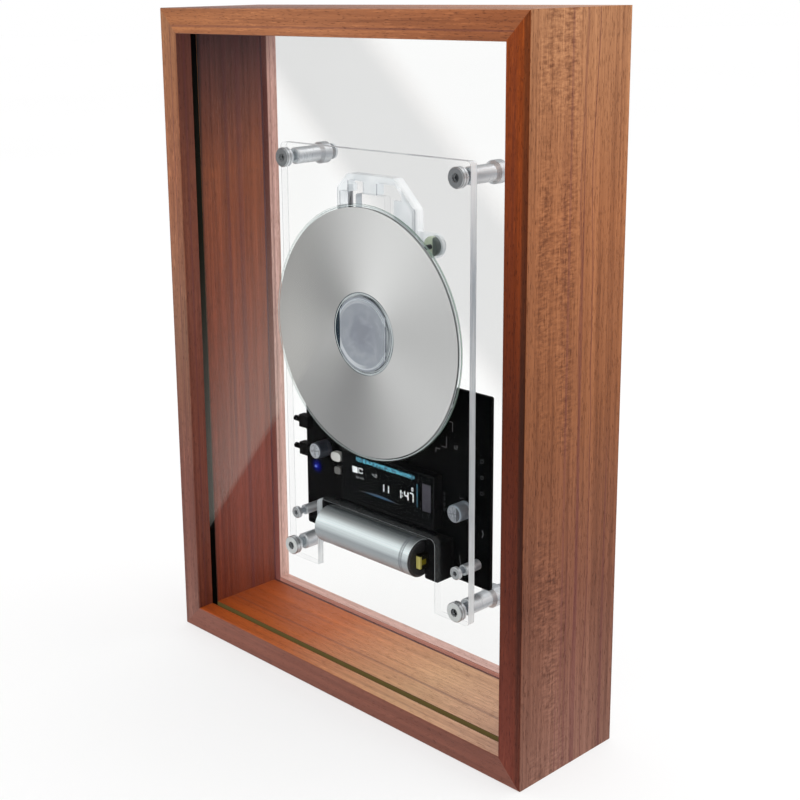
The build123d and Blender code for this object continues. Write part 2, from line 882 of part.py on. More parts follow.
with BuildPart() as platter_ring:
    ring_back = platter_front - platter_ring_stand + platter_ring_thickness
    turn(0, spindle_z, [
        (platter_ring_inner_radius, platter_seat),
        (platter_ring_inner_radius + platter_ring_width, platter_seat),
        (platter_ring_inner_radius + platter_ring_width, ring_back),
        (platter_ring_inner_radius, ring_back),
    ])
save(platter_ring, "platter_ring")

spindle_end = spindle_motor_back - spindle_end_gap
with BuildPart() as spindle_shaft:
    rod(0, spindle_z, spindle_radius, shaft_front, spindle_end)
save(spindle_shaft, "spindle_shaft")

clamp_radius = clamp_diameter / 2
boss_back = clamp_back + clamp_boss_length
magnet_radius = clamp_boss_radius - magnet_wall
magnet_front = boss_back - magnet_thickness
with BuildPart() as disc_clamp:
    # a thin round plate with two flats to grip, and a step round its front edge
    step_back = clamp_front + clamp_step_height
    for shrink, front, back in ((0, step_back, clamp_back), (clamp_step_width, clamp_front, step_back)):
        with BuildSketch(across(back)) as clamp_outline:
            with Locations((0, spindle_z)):
                Circle(clamp_radius - shrink)
                Rectangle(clamp_flats - shrink, 2 * clamp_diameter, mode=Mode.INTERSECT)
        extrude(clamp_outline.sketch, amount=back - front)
    rod(0, spindle_z, clamp_boss_radius, clamp_back, boss_back)
    rod(0, spindle_z, magnet_radius + screw_clearance, magnet_front, boss_back + 1, Mode.SUBTRACT)
save(disc_clamp, "disc_clamp")

with BuildPart() as clamp_magnet:
    rod(0, spindle_z, magnet_radius, magnet_front, boss_back)
save(clamp_magnet, "clamp_magnet")

# ------------------------------------------------------------------ disc drive deck
deck_outline = [
    (-deck_left, deck_bottom),
    (deck_right, deck_bottom),
    (deck_right, deck_top - deck_chamfer_right),
    (deck_right - deck_chamfer_right, deck_top),
    (-deck_left + deck_chamfer_left, deck_top),
    (-deck_left, deck_top - deck_chamfer_left),
]
window_left = -guide_rod_offset - guide_bush_radius - window_left_margin
ear_front = deck_front + ear_setback
guide_rod_low = window_bottom - guide_lug_length + guide_lug_end
guide_rod_length = window_top + guide_lug_length - guide_lug_end - guide_rod_low

with BuildPart() as deck_chassis:
    with BuildSketch(across(deck_back)) as deck_shape:
        with BuildLine():
            Polyline(*deck_outline, close=True)
        make_face()
        fillet(deck_shape.vertices().group_by(Axis.Z)[0], radius=deck_corner_radius)
    extrude(amount=deck_depth)
    # the web stands inside a skirt, with a pocket in front of it and a shallow one behind
    with BuildSketch(across(web_front)) as front_pocket:
        add(deck_shape.sketch.moved(Location((0, web_front - deck_back, 0))))
        offset(amount=-deck_skirt, kind=Kind.INTERSECTION, mode=Mode.REPLACE)
    extrude(front_pocket.sketch, amount=web_front - deck_front + 1, mode=Mode.SUBTRACT)
    with BuildSketch(across(deck_back + 1)) as back_pocket:
        add(deck_shape.sketch.moved(Location((0, 1, 0))))
        offset(amount=-deck_skirt, kind=Kind.INTERSECTION, mode=Mode.REPLACE)
    extrude(back_pocket.sketch, amount=deck_back + 1 - web_back, mode=Mode.SUBTRACT)
    # a head above the window fills the front pocket as far as the vents reach
    with BuildSketch(across(web_front)) as head:
        add(deck_shape.sketch.moved(Location((0, web_front - deck_back, 0))))
        with Locations((deck_vent_right - deck_left, window_top + deck_left)):
            Rectangle(2 * deck_left, 2 * deck_left, mode=Mode.INTERSECT)
    extrude(head.sketch, amount=web_front - deck_front)
    # ears that sit in the rubber dampers
    for x, z in ear_places:
        side = 1 if x > 0 else -1
        skirt = deck_right if x > 0 else deck_left
        reach = ear_reach - skirt + deck_skirt
        slab(ear_front, ear_front + ear_thickness, side * (skirt - deck_skirt + reach / 2), z,
             reach, 2 * ear_radius)
        rod(x, z, ear_radius, ear_front, ear_front + ear_thickness)
        rod(x, z, damper_neck_radius + damper_fit, ear_front - 1, ear_front + ear_thickness + 1,
            Mode.SUBTRACT)
    # lugs for the guide rod, then the window for the sled with its two vents at the top
    for low in (window_bottom - guide_lug_length, window_top):
        slab(guide_rod_y - guide_bush_radius, guide_rod_y + guide_bush_radius,
             -guide_rod_offset, low + guide_lug_length / 2,
             2 * guide_bush_radius, guide_lug_length)
    slab(deck_front - 1, deck_back + 1, (window_left + rail_edge) / 2,
         (window_bottom + window_top) / 2,
         rail_edge - window_left, window_top - window_bottom, deck_opening_radius, Mode.SUBTRACT)
    tab_left = deck_tab_centre - deck_tab_width / 2
    tab_right = deck_tab_centre + deck_tab_width / 2
    for left, right in ((-deck_vent_left, tab_left), (tab_right, deck_vent_right)):
        slab(deck_front - 1, deck_back + 1, (left + right) / 2, (window_top + vent_top) / 2 - 1,
             right - left, vent_top - window_top + 2, deck_opening_radius, Mode.SUBTRACT)
    # holes for the rod, the motors' bosses and screws, and the gear's pin
    with BuildSketch(Plane.XY.offset(guide_rod_low)) as rod_hole:
        with Locations((-guide_rod_offset, guide_rod_y)):
            Circle(guide_rod_radius + screw_clearance)
    extrude(rod_hole.sketch, amount=guide_rod_length, mode=Mode.SUBTRACT)
    rod(0, spindle_z, motor_boss_radius + hole_clearance, web_front - 1, deck_back + 1,
        Mode.SUBTRACT)
    rod(motor_x, motor_z, sled_motor_boss_radius + hole_clearance, web_front - 1,
        deck_back + 1, Mode.SUBTRACT)
    for x, z in motor_screw_places:
        hole = motor_screw_radius + screw_clearance
        rim = motor_screw_head_radius + screw_clearance
        turn(x, z, [
            (0, web_front - 1),
            (rim, web_front - 1),
            (rim, web_front),
            (hole, web_front + rim - hole),
            (hole, deck_back + 1),
            (0, deck_back + 1),
        ], Mode.SUBTRACT)
    rod(drive_gear_x, drive_gear_z, gear_pin_radius + screw_clearance, web_front - 1,
        deck_back + 1, Mode.SUBTRACT)
save(deck_chassis, "deck_chassis")

with BuildPart() as rubber_dampers:
    for x, z in ear_places:
        neck_back = ear_front + ear_thickness + damper_fit
        damper_back = plate_back + damper_length
        turn(x, z, [
            (deck_screw_radius + damper_fit, plate_back),
            (damper_radius - damper_chamfer, plate_back),
            (damper_radius, plate_back + damper_chamfer),
            (damper_radius, ear_front - damper_fit),
            (damper_neck_radius, ear_front - damper_fit),
            (damper_neck_radius, neck_back),
            (damper_radius, neck_back),
            (damper_radius, damper_back - damper_chamfer),
            (damper_radius - damper_chamfer, damper_back),
            (deck_screw_radius + damper_fit, damper_back),
        ])
save(rubber_dampers, "rubber_dampers")

with BuildPart() as deck_screws:
    for x, z in ear_places:
        seat = plate_back + damper_length
        head_back = seat + deck_screw_head_height
        turn(x, z, [
            (0, head_back),
            (deck_screw_head_radius - screw_head_chamfer, head_back),
            (deck_screw_head_radius, head_back - screw_head_drop),
            (deck_screw_head_radius, seat),
            (deck_screw_radius, seat),
            (deck_screw_radius, plate_back - deck_screw_grip),
            (0, plate_back - deck_screw_grip),
        ])
        cross_slot(x, z, head_back, deck_slot_length, deck_slot_width, deck_slot_depth)
save(deck_screws, "deck_screws")

# Spindle motor: a flat can behind the web with its bearing boss standing through it
boss_front = web_back - motor_boss_length
with BuildPart() as spindle_motor:
    turn(0, spindle_z, [
        (0, boss_front),
        (motor_boss_radius, boss_front),
        (motor_boss_radius, web_back),
        (spindle_motor_radius - spindle_motor_front_chamfer, web_back),
        (spindle_motor_radius, web_back + spindle_motor_front_chamfer),
        (spindle_motor_radius, spindle_motor_back - spindle_motor_back_chamfer),
        (spindle_motor_radius - spindle_motor_back_chamfer, spindle_motor_back),
        (0, spindle_motor_back),
    ])
    rod(0, spindle_z, bearing_radius + screw_clearance, boss_front - 1,
        boss_front + motor_boss_length, Mode.SUBTRACT)
    rod(0, spindle_z, spindle_radius + 2 * running_clearance, boss_front - 1,
        spindle_end + spindle_float, Mode.SUBTRACT)
    for x, z in motor_screw_places[:2]:
        rod(x, z, motor_screw_radius + screw_clearance,
            web_back - 1, web_back + motor_screw_grip + screw_end_gap, Mode.SUBTRACT)
save(spindle_motor, "spindle_motor")

with BuildPart() as spindle_bearing:
    turn(0, spindle_z, [
        (spindle_radius + running_clearance, boss_front),
        (bearing_radius, boss_front),
        (bearing_radius, boss_front + motor_boss_length),
        (spindle_radius + running_clearance, boss_front + motor_boss_length),
    ])
save(spindle_bearing, "spindle_bearing")

sled_motor_back = web_back + sled_motor_length
with BuildPart() as sled_motor:
    with BuildSketch(across(sled_motor_back)):
        with Locations((motor_x, motor_z)):
            Circle(sled_motor_radius)
            Rectangle(2 * sled_motor_radius, sled_motor_flats, mode=Mode.INTERSECT)
    extrude(amount=sled_motor_length)
    rod(motor_x, motor_z, sled_motor_boss_radius, web_front + sled_motor_boss_setback, web_back)
    rod(motor_x, motor_z, sled_motor_cap_radius, sled_motor_back,
        sled_motor_back + sled_motor_cap_height)
    rod(motor_x, motor_z, motor_shaft_radius + running_clearance, web_front - 1,
        sled_motor_back - sled_motor_end_wall, Mode.SUBTRACT)
    for x, z in motor_screw_places[2:]:
        rod(x, z, motor_screw_radius + screw_clearance,
            web_back - 1, web_back + motor_screw_grip + screw_end_gap, Mode.SUBTRACT)
save(sled_motor, "sled_motor")

with BuildPart() as motor_screws:
    # flat heads, flush with the web, leave room for the gears
    for x, z in motor_screw_places:
        turn(x, z, [
            (0, web_front),
            (motor_screw_head_radius, web_front),
            (motor_screw_radius, web_front + motor_screw_head_radius - motor_screw_radius),
            (motor_screw_radius, web_back + motor_screw_grip),
            (0, web_back + motor_screw_grip),
        ])
save(motor_screws, "motor_screws")

with BuildPart() as guide_rod:
    with BuildSketch(Plane.XY.offset(guide_rod_low)):
        with Locations((-guide_rod_offset, guide_rod_y)):
            Circle(guide_rod_radius)
    extrude(amount=guide_rod_length)
save(guide_rod, "guide_rod")

# ------------------------------------------------------------------ gears
with BuildPart() as gear_pin:
    cap_front = drive_gear_front_y - gear_level_gap - gear_pin_cap_thickness
    turn(drive_gear_x, drive_gear_z, [
        (0, cap_front),
        (gear_pin_cap_radius, cap_front),
        (gear_pin_cap_radius, cap_front + gear_pin_cap_thickness),
        (gear_pin_radius, cap_front + gear_pin_cap_thickness),
        (gear_pin_radius, deck_back),
        (0, deck_back),
    ])
save(gear_pin, "gear_pin")

# One tooth of the small wheel points at the rack, and one of the large wheel at the motor pinion.
toward_rack = pi
toward_motor = atan2(motor_z - drive_gear_z, motor_x - drive_gear_x)
with BuildPart() as drive_gear:
    spur_gear(drive_gear_x, drive_gear_z, drive_gear_front_y, drive_gear_back_y,
              drive_gear_teeth, drive_module, toward_motor)
    spur_gear(drive_gear_x, drive_gear_z, drive_gear_back_y, rack_back_y,
              rack_pinion_teeth, rack_module, toward_rack)
    rod(drive_gear_x, drive_gear_z, gear_pin_radius + running_clearance,
        drive_gear_front_y - 1, rack_back_y + 1, Mode.SUBTRACT)
save(drive_gear, "drive_gear")

with BuildPart() as motor_pinion:
    half_tooth_angle = pi / motor_pinion_teeth
    spur_gear(motor_x, motor_z, drive_gear_front_y, drive_gear_back_y,
              motor_pinion_teeth, drive_module, toward_motor + pi + half_tooth_angle)
    rod(motor_x, motor_z, motor_shaft_radius, drive_gear_front_y - 1, drive_gear_back_y + 1,
        Mode.SUBTRACT)
save(motor_pinion, "motor_pinion")

with BuildPart() as motor_shaft:
    rod(motor_x, motor_z, motor_shaft_radius, drive_gear_front_y - motor_shaft_stand,
        sled_motor_back - motor_shaft_end_gap)
save(motor_shaft, "motor_shaft")

# The rack's teeth face the small wheel, with a space opposite its tooth at the inner limit.
rack_low = drive_gear_z - lens_travel - rack_end_margin
rack_high = drive_gear_z + rack_end_margin
rack_pitch = pi * rack_module
rack_root = rack_pitch_line - tooth_dedendum * rack_module
rack_tip = rack_pitch_line + tooth_addendum * rack_module
flank_slope = tan(radians(pressure_angle))
half_thick = (rack_pitch / 2 - tooth_backlash) / 2
half_root = half_thick + (rack_pitch_line - rack_root) * flank_slope
half_tip = half_thick - (rack_tip - rack_pitch_line) * flank_slope
rack_back_x = rack_root - rack_back_width
pad_left = sled_step + rack_pad_gap
pad_low = lens_rise - sled_below_lens + rack_pad_rise
teeth_below = int((drive_gear_z - rack_low) / rack_pitch - 0.5)
teeth_above = int((rack_high - drive_gear_z) / rack_pitch + 0.5)
with BuildPart() as sled_rack:
    slab(rack_front_y, rack_back_y, (rack_back_x + rack_root) / 2, (rack_low + rack_high) / 2,
         rack_root - rack_back_x, rack_high - rack_low)
    slab(rack_front_y, rack_back_y, (pad_left + rack_root) / 2, pad_low + rack_pad_length / 2,
         rack_root - pad_left, rack_pad_length)
    with BuildSketch(across(rack_back_y)) as rack_teeth:
        for tooth in range(-teeth_below, teeth_above):
            middle = drive_gear_z + (tooth + 0.5) * rack_pitch
            with BuildLine():
                Polyline(
                    (rack_root - rack_tooth_root, middle - half_root),
                    (rack_root, middle - half_root),
                    (rack_tip, middle - half_tip),
                    (rack_tip, middle + half_tip),
                    (rack_root, middle + half_root),
                    (rack_root - rack_tooth_root, middle + half_root),
                    close=True,
                )
            make_face()
    extrude(rack_teeth.sketch, amount=rack_thickness)
save(sled_rack, "sled_rack")

# ------------------------------------------------------------------ pickup
sled_low = lens_rise - sled_below_lens
sled_high = lens_rise + sled_above_lens
sled_middle = (sled_low + sled_high) / 2
sled_height = sled_high - sled_low
sled_right = rail_edge - sled_side_clearance
tower_middle = lens_rise + (sled_above_lens - tower_below_lens) / 2
tower_height = sled_above_lens + tower_below_lens
laser_place = (
    sled_back - laser_can_radius - laser_can_back_margin,
    sled_low + laser_can_radius + laser_can_rise,
)
with BuildPart() as pickup_sled:
    slab(sled_front, sled_back, (sled_step - sled_left) / 2, sled_middle,
         sled_step + sled_left, sled_height)
    slab(rack_back_y, sled_back, (sled_right + sled_step) / 2, sled_middle,
         sled_right - sled_step, sled_height)
    # a lip behind the rail keeps the sled in its window
    slab(web_back + sled_lip_clearance, web_back + sled_lip_clearance + sled_lip_thickness,
         sled_right + sled_lip_width / 2 - sled_lip_root, sled_middle + sled_lip_offset,
         sled_lip_width + 2 * sled_lip_root, sled_height - 2 * sled_lip_end_gap)
    # the arm to the guide bush, and the tower that carries the lens
    slab(guide_rod_y - sled_arm_thickness / 2, guide_rod_y + sled_arm_thickness / 2,
         -(guide_rod_offset + sled_left) / 2, sled_high - sled_arm_drop - sled_arm_height / 2,
         guide_rod_offset - sled_left + 1, sled_arm_height)
    with BuildSketch(Plane.XY.offset(sled_low)) as bush:
        with Locations((-guide_rod_offset, guide_rod_y)):
            Circle(guide_bush_radius)
    extrude(bush.sketch, amount=sled_height)
    with BuildSketch(Plane.XY.offset(sled_low - 1)) as bush_bore:
        with Locations((-guide_rod_offset, guide_rod_y)):
            Circle(guide_rod_radius + running_clearance)
    extrude(bush_bore.sketch, amount=sled_height + 2, mode=Mode.SUBTRACT)
    slab(tower_front, sled_front + 1, (sled_step - tower_left) / 2, tower_middle,
         sled_step + tower_left, tower_height)
    slab(tower_front, sled_front, (tower_right - tower_left) / 2, tower_middle,
         tower_right + tower_left, tower_height)
    rod(0, lens_rise, lens_radius + lens_ring_gap, tower_front - 1,
        tower_front + lens_bore_depth, Mode.SUBTRACT)
    # the laser diode's seat in the left flank
    with BuildSketch(Plane.YZ.offset(-sled_left - 1)) as seat:
        with Locations(laser_place):
            Circle(laser_can_radius - laser_seat_rim)
    extrude(seat.sketch, amount=laser_seat_depth + 1, mode=Mode.SUBTRACT)
save(pickup_sled, "pickup_sled")

with BuildPart() as lens_cover:
    slab(lens_cover_front, tower_front, (tower_right - tower_left) / 2, tower_middle,
         tower_right + tower_left, tower_height, lens_cover_corner_radius)
    rod(0, lens_rise, lens_radius + lens_ring_gap, lens_cover_front - 1, tower_front + 1,
        Mode.SUBTRACT)
save(lens_cover, "lens_cover")

with BuildPart() as objective_lens:
    lens_top = lens_cover_front - lens_stand
    lens_rim = lens_top + lens_rim_drop
    lens_seat = tower_front + lens_bore_depth
    with BuildSketch(Plane(origin=(0, 0, lens_rise), x_dir=(1, 0, 0), z_dir=(0, 0, 1))):
        with BuildLine():
            crown = ThreePointArc(
                (0, lens_top),
                (lens_radius * lens_crown_shoulder, lens_top + lens_crown_drop),
                (lens_radius, lens_rim),
            )
            Polyline(crown @ 1, (lens_radius + lens_ring_gap, lens_rim),
                     (lens_radius + lens_ring_gap, lens_seat), (0, lens_seat), crown @ 0)
        make_face()
    revolve(axis=Axis((0, 0, lens_rise), (0, 1, 0)))
save(objective_lens, "objective_lens")

with BuildPart() as laser_diode:
    with BuildSketch(Plane.YZ.offset(-sled_left - laser_can_length)):
        with Locations(laser_place):
            Circle(laser_can_radius)
    extrude(amount=laser_can_length)
save(laser_diode, "laser_diode")

with BuildPart() as pickup_board:
    slab(sled_back, sled_back + pickup_board_thickness, (sled_step - sled_left) / 2,
         sled_middle, sled_step + sled_left - 2 * pickup_board_inset,
         sled_height - 2 * pickup_board_inset, pickup_board_radius)
save(pickup_board, "pickup_board")

# ------------------------------------------------------------------ circuit board
with BuildPart() as circuit_board:
    slab(board_front, board_back, 0, (board_rise + board_top) / 2,
         board_width, board_height, board_corner_radius)
    for x, z in spacer_places:
        rod(x, z, board_screw_radius + hole_clearance, board_front - 1, board_back + 1,
            Mode.SUBTRACT)
save(circuit_board, "circuit_board")

with BuildPart() as board_spacers:
    for x, z in spacer_places:
        rod(x, z, spacer_radius, plate_back, board_front)
        rod(x, z, spacer_bore_radius, plate_back - 1, board_front + 1, Mode.SUBTRACT)
save(board_spacers, "board_spacers")

with BuildPart() as board_cap_screws:
    for x, z in spacer_places:
        cap_screw(x, z, plate_front - board_head_height, board_head_radius, board_head_height,
                  board_head_chamfer, board_socket_flats, board_socket_depth,
                  board_screw_radius, plate_back + board_screw_grip)
save(board_cap_screws, "board_cap_screws")

with BuildPart() as board_rear_screws:
    for x, z in spacer_places:
        head_back = board_back + board_nut_height
        turn(x, z, [
            (0, head_back),
            (board_nut_radius - screw_head_chamfer, head_back),
            (board_nut_radius, head_back - screw_head_drop),
            (board_nut_radius, board_back),
            (board_screw_radius, board_back),
            (board_screw_radius, board_front - board_screw_grip),
            (0, board_front - board_screw_grip),
        ])
        cross_slot(x, z, head_back, board_slot_length, board_slot_width, board_slot_depth)
save(board_rear_screws, "board_rear_screws")

# Display: a black housing on the board with a dark glass let into its front
display_z = display_bottom + display_height / 2
glass_back = display_front + display_glass_thickness
with BuildPart() as display_housing:
    slab(display_front + display_rim_drop, board_front, display_offset, display_z,
         display_width, display_height, display_corner_radius)
    slab(display_front - 1, glass_back, display_offset, display_z,
         display_width - 2 * (display_glass_margin - display_glass_fit),
         display_height - 2 * (display_glass_margin - display_glass_fit), mode=Mode.SUBTRACT)
save(display_housing, "display_housing")

with BuildPart() as display_glass:
    slab(display_front, glass_back, display_offset, display_z,
         display_width - 2 * display_glass_margin, display_height - 2 * display_glass_margin)
save(display_glass, "display_glass")

# Battery: one round cell in a holder that is soldered to the board
with BuildPart() as battery_cell:
    with BuildSketch(Plane.XY.offset(cell_axis_z)):
        with BuildLine():
            Polyline(
                (cell_start, cell_axis_y),
                (cell_start, cell_axis_y + cell_radius - cell_edge),
                (cell_start + cell_edge, cell_axis_y + cell_radius),
                (cell_end - cell_edge, cell_axis_y + cell_radius),
                (cell_end, cell_axis_y + cell_radius - cell_edge),
                (cell_end, cell_axis_y + cell_nub_radius),
                (cell_end + cell_nub_height, cell_axis_y + cell_nub_radius),
                (cell_end + cell_nub_height, cell_axis_y),
                close=True,
            )
        make_face()
    revolve(axis=Axis((0, cell_axis_y, cell_axis_z), (1, 0, 0)))
save(battery_cell, "battery_cell")

holder_z = cell_axis_z
wall_front = board_front - holder_base - holder_wall_height
with BuildPart() as battery_holder:
    slab(board_front - holder_base, board_front, (holder_left + holder_right) / 2, holder_z,
         holder_right - holder_left, holder_height, holder_corner_radius)
    for outer, inner in ((holder_left, cell_start), (holder_right, cell_end + cell_nub_height)):
        reach = abs(outer - inner) - holder_cell_gap
        slab(wall_front, board_front, outer + reach / 2 * (1 if inner > outer else -1), holder_z,
             reach, holder_height, holder_corner_radius)
    # pockets that hold the contact springs
    for x, way in ((cell_start, -1), (cell_end + cell_nub_height, 1)):
        slab(wall_front - 1, board_front - holder_base, x + way * contact_pocket / 2, holder_z,
             contact_pocket, contact_width + 2 * holder_pocket_side_gap, mode=Mode.SUBTRACT)
    # low cradle ribs under the cell follow its round side
    for x in (cell_start + holder_rib_inset, cell_end - holder_rib_inset):
        slab(board_front - holder_base - holder_rib_height, board_front - holder_base,
             x, holder_z, holder_rib_width, holder_height - 2 * holder_rib_end_gap)
    with BuildSketch(Plane.YZ.offset(cell_start)) as cradle:
        with Locations((cell_axis_y, cell_axis_z)):
            Circle(cell_radius + holder_cell_gap)
    extrude(cradle.sketch, amount=cell_length, mode=Mode.SUBTRACT)
save(battery_holder, "battery_holder")

with BuildPart() as battery_contacts:
    for x, way in ((cell_start, -1), (cell_end + cell_nub_height, 1)):
        spring_front = cell_axis_y - contact_height / 2
        outer = x + way * (contact_pocket - contact_thickness / 2)
        inner = x + way * (contact_thickness / 2 + contact_gap)
        slab(spring_front, board_front - holder_base, outer, holder_z,
             contact_thickness, contact_width)
        slab(spring_front, cell_axis_y + contact_height / 2, inner, holder_z,
             contact_thickness, contact_width)
        slab(spring_front, spring_front + contact_thickness, (inner + outer) / 2, holder_z,
             contact_pocket - contact_gap, contact_width)
save(battery_contacts, "battery_contacts")

# Capacitors: aluminium cans on square black bases
capacitor_places = [
    (capacitor_left_x, board_rise + capacitor_left_rise),
    (capacitor_right_x, board_rise + capacitor_right_rise),
]
capacitor_front = plate_back + capacitor_plate_gap
capacitor_seat = board_front - capacitor_base
with BuildPart() as capacitor_cans:
    for x, z in capacitor_places:
        radius = capacitor_diameter / 2
        waist = capacitor_seat - capacitor_groove_rise
        turn(x, z, [
            (0, capacitor_front),
            (radius - capacitor_chamfer, capacitor_front),
            (radius, capacitor_front + capacitor_chamfer),
            (radius, waist - capacitor_groove_width / 2),
            (radius - capacitor_groove_depth, waist),
            (radius, waist + capacitor_groove_width / 2),
            (radius, capacitor_seat),
            (0, capacitor_seat),
        ])
save(capacitor_cans, "capacitor_cans")

with BuildPart() as capacitor_bases:
    for x, z in capacitor_places:
        slab(capacitor_seat, board_front, x, z, capacitor_diameter, capacitor_diameter,
             capacitor_base_radius)
save(capacitor_bases, "capacitor_bases")

# Side push buttons on the board's left edge
button_y = board_front - switch_height / 2
switch_left = board_left - switch_overhang
switch_length = switch_overhang + switch_inset
with BuildPart() as switch_bodies:
    for rise in switch_rises:
        slab(board_front - switch_height, board_front, switch_left + switch_length / 2,
             board_rise + rise, switch_length, switch_width)
        with BuildSketch(Plane.YZ.offset(switch_left)) as throat:
            with Locations((button_y, board_rise + rise)):
                Circle(button_radius + button_clearance)
        extrude(throat.sketch, amount=button_depth + button_travel + button_clearance,
                mode=Mode.SUBTRACT)
save(switch_bodies, "switch_bodies")

for label, rise in zip(("lower_button", "upper_button"), switch_rises):
    with BuildPart() as button:
        with BuildSketch(Plane.YZ.offset(switch_left - button_stand)):
            with Locations((button_y, board_rise + rise)):
                Circle(button_radius)
        extrude(amount=button_stand + button_depth)
        chamfer(button.edges().group_by(Axis.X)[0], length=button_chamfer)
    save(button, label)

# Charging socket above the buttons: a folded metal shell with a tongue in its mouth
socket_left = board_left - socket_overhang
socket_z = board_top - socket_drop
with BuildPart() as charging_socket:
    slab(board_front - socket_height, board_front, socket_left + socket_length / 2, socket_z,
         socket_length, socket_width)
    mouth_depth = socket_length - socket_back_wall
    slab(board_front - socket_height + socket_wall, board_front - socket_wall,
         socket_left + (mouth_depth - 1) / 2, socket_z,
         mouth_depth + 1, socket_width - 2 * socket_wall, mode=Mode.SUBTRACT)
    slab(board_front - socket_height / 2 - socket_tongue / 2,
         board_front - socket_height / 2 + socket_tongue / 2,
         socket_left + socket_length / 2, socket_z,
         socket_length - 2 * socket_tongue_end_gap, socket_width - 2 * socket_tongue_side_gap)
save(charging_socket, "charging_socket")

# Small parts on the board's front
front_parts = {
    "status_led": (board_left + led_inset, led_rise, led_size, led_corner_radius),
    "quartz_crystal": (crystal_x, crystal_rise, crystal_size, crystal_corner_radius),
    "small_inductor": (inductor_x, inductor_rise, inductor_size, inductor_corner_radius),
}
for label, (x, rise, size, corner) in front_parts.items():
    with BuildPart() as chip:
        slab(board_front - size[2], board_front, x, board_rise + rise, size[0], size[1], corner)
    save(chip, label)

# Chips and the radio module on the board's back
back_parts = {
    "servo_chip": (ribbon_offset - servo_chip_offset, board_rise + servo_chip_rise,
                   servo_chip_size),
    "power_chip": (board_width / 2 - power_chip_inset, board_rise + power_chip_rise,
                   power_chip_size),
    "radio_module": (board_width / 2 - radio_module_inset - radio_module_size[0] / 2,
                     board_top - radio_module_drop, radio_module_size),
}
for label, (x0, z0, size) in back_parts.items():
    with BuildPart() as chip:
        slab(board_back, board_back + size[2], x0, z0, size[0], size[1], chip_corner_radius)
        chamfer(chip.edges().group_by(Axis.Y)[-1], length=chip_chamfer)
        if label == "servo_chip":
            # soldered leads along all four sides
            reach = size[0] / 2 + (chip_lead_length - chip_lead_root) / 2
            length = chip_lead_length + chip_lead_root
            pitch = size[0] / (chip_leads_per_side + 1)
            for place in range(chip_leads_per_side):
                along = (place - (chip_leads_per_side - 1) / 2) * pitch
                for side in (-1, 1):
                    slab(board_back, board_back + chip_lead_thickness, x0 + side * reach,
                         z0 + along, length, chip_lead_width)
                    slab(board_back, board_back + chip_lead_thickness, x0 + along,
                         z0 + side * reach, chip_lead_width, length)
    save(chip, label)

# Ribbon from the pickup down behind the spindle motor to a connector on the board's back
connector_top = board_top - ribbon_connector_drop
connector_bottom = connector_top - ribbon_connector_height
ribbon_foot_y = board_back + ribbon_connector_depth / 2
with BuildPart() as ribbon_connector:
    slab(board_back, board_back + ribbon_connector_depth, ribbon_offset,
         (connector_top + connector_bottom) / 2,
         ribbon_width + 2 * ribbon_connector_side, ribbon_connector_height)
    half_slot = ribbon_thickness / 2 + ribbon_slot_gap
    slab(ribbon_foot_y - half_slot, ribbon_foot_y + half_slot, ribbon_offset,
         connector_top - ribbon_insertion / 2,
         ribbon_width + 2 * ribbon_slot_gap, ribbon_insertion + ribbon_slot_gap,
         mode=Mode.SUBTRACT)
save(ribbon_connector, "ribbon_connector")

ribbon_head_y = sled_back + pickup_board_thickness + ribbon_contact_gap + ribbon_thickness / 2
ribbon_back_y = spindle_motor_back + ribbon_motor_gap + ribbon_thickness / 2
ribbon_low = connector_top - ribbon_insertion + ribbon_slot_gap
ribbon_bend = sled_low + ribbon_rise
ribbon_high = ribbon_bend + ribbon_overlap
with BuildPart() as pickup_ribbon:
    with BuildSketch(Plane.YZ.offset(ribbon_offset - ribbon_width / 2)):
        with BuildLine():
            route = FilletPolyline(
                (ribbon_foot_y, ribbon_low),
                (ribbon_foot_y, connector_top + ribbon_foot_length),
                (ribbon_back_y, connector_top + ribbon_turn_height),
                (ribbon_back_y, ribbon_bend - ribbon_slope_height),
                (ribbon_head_y, ribbon_bend),
                (ribbon_head_y, ribbon_high),
                radius=3 * (ribbon_bend_radius,) + (ribbon_head_radius,),
            )
            offset(route, amount=ribbon_thickness / 2, side=Side.BOTH)
        make_face()
    extrude(amount=ribbon_width)
save(pickup_ribbon, "pickup_ribbon")
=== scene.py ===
# %% [markdown]
# # A compact disc player in a wooden shadow box
#
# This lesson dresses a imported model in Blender. The real object is a deep frame of
# reddish veneer with a glass pane in front and a clear panel behind. Between them a
# clear plate on four chrome standoffs carries a disc drive, a black circuit board with
# a small display, and a round cell. Nearly every piece can be seen, so every piece gets
# a finish of its own.
#
# The model could be imported by hand.

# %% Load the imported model
import math

import bmesh
import bpy
from mathutils import Matrix, Vector


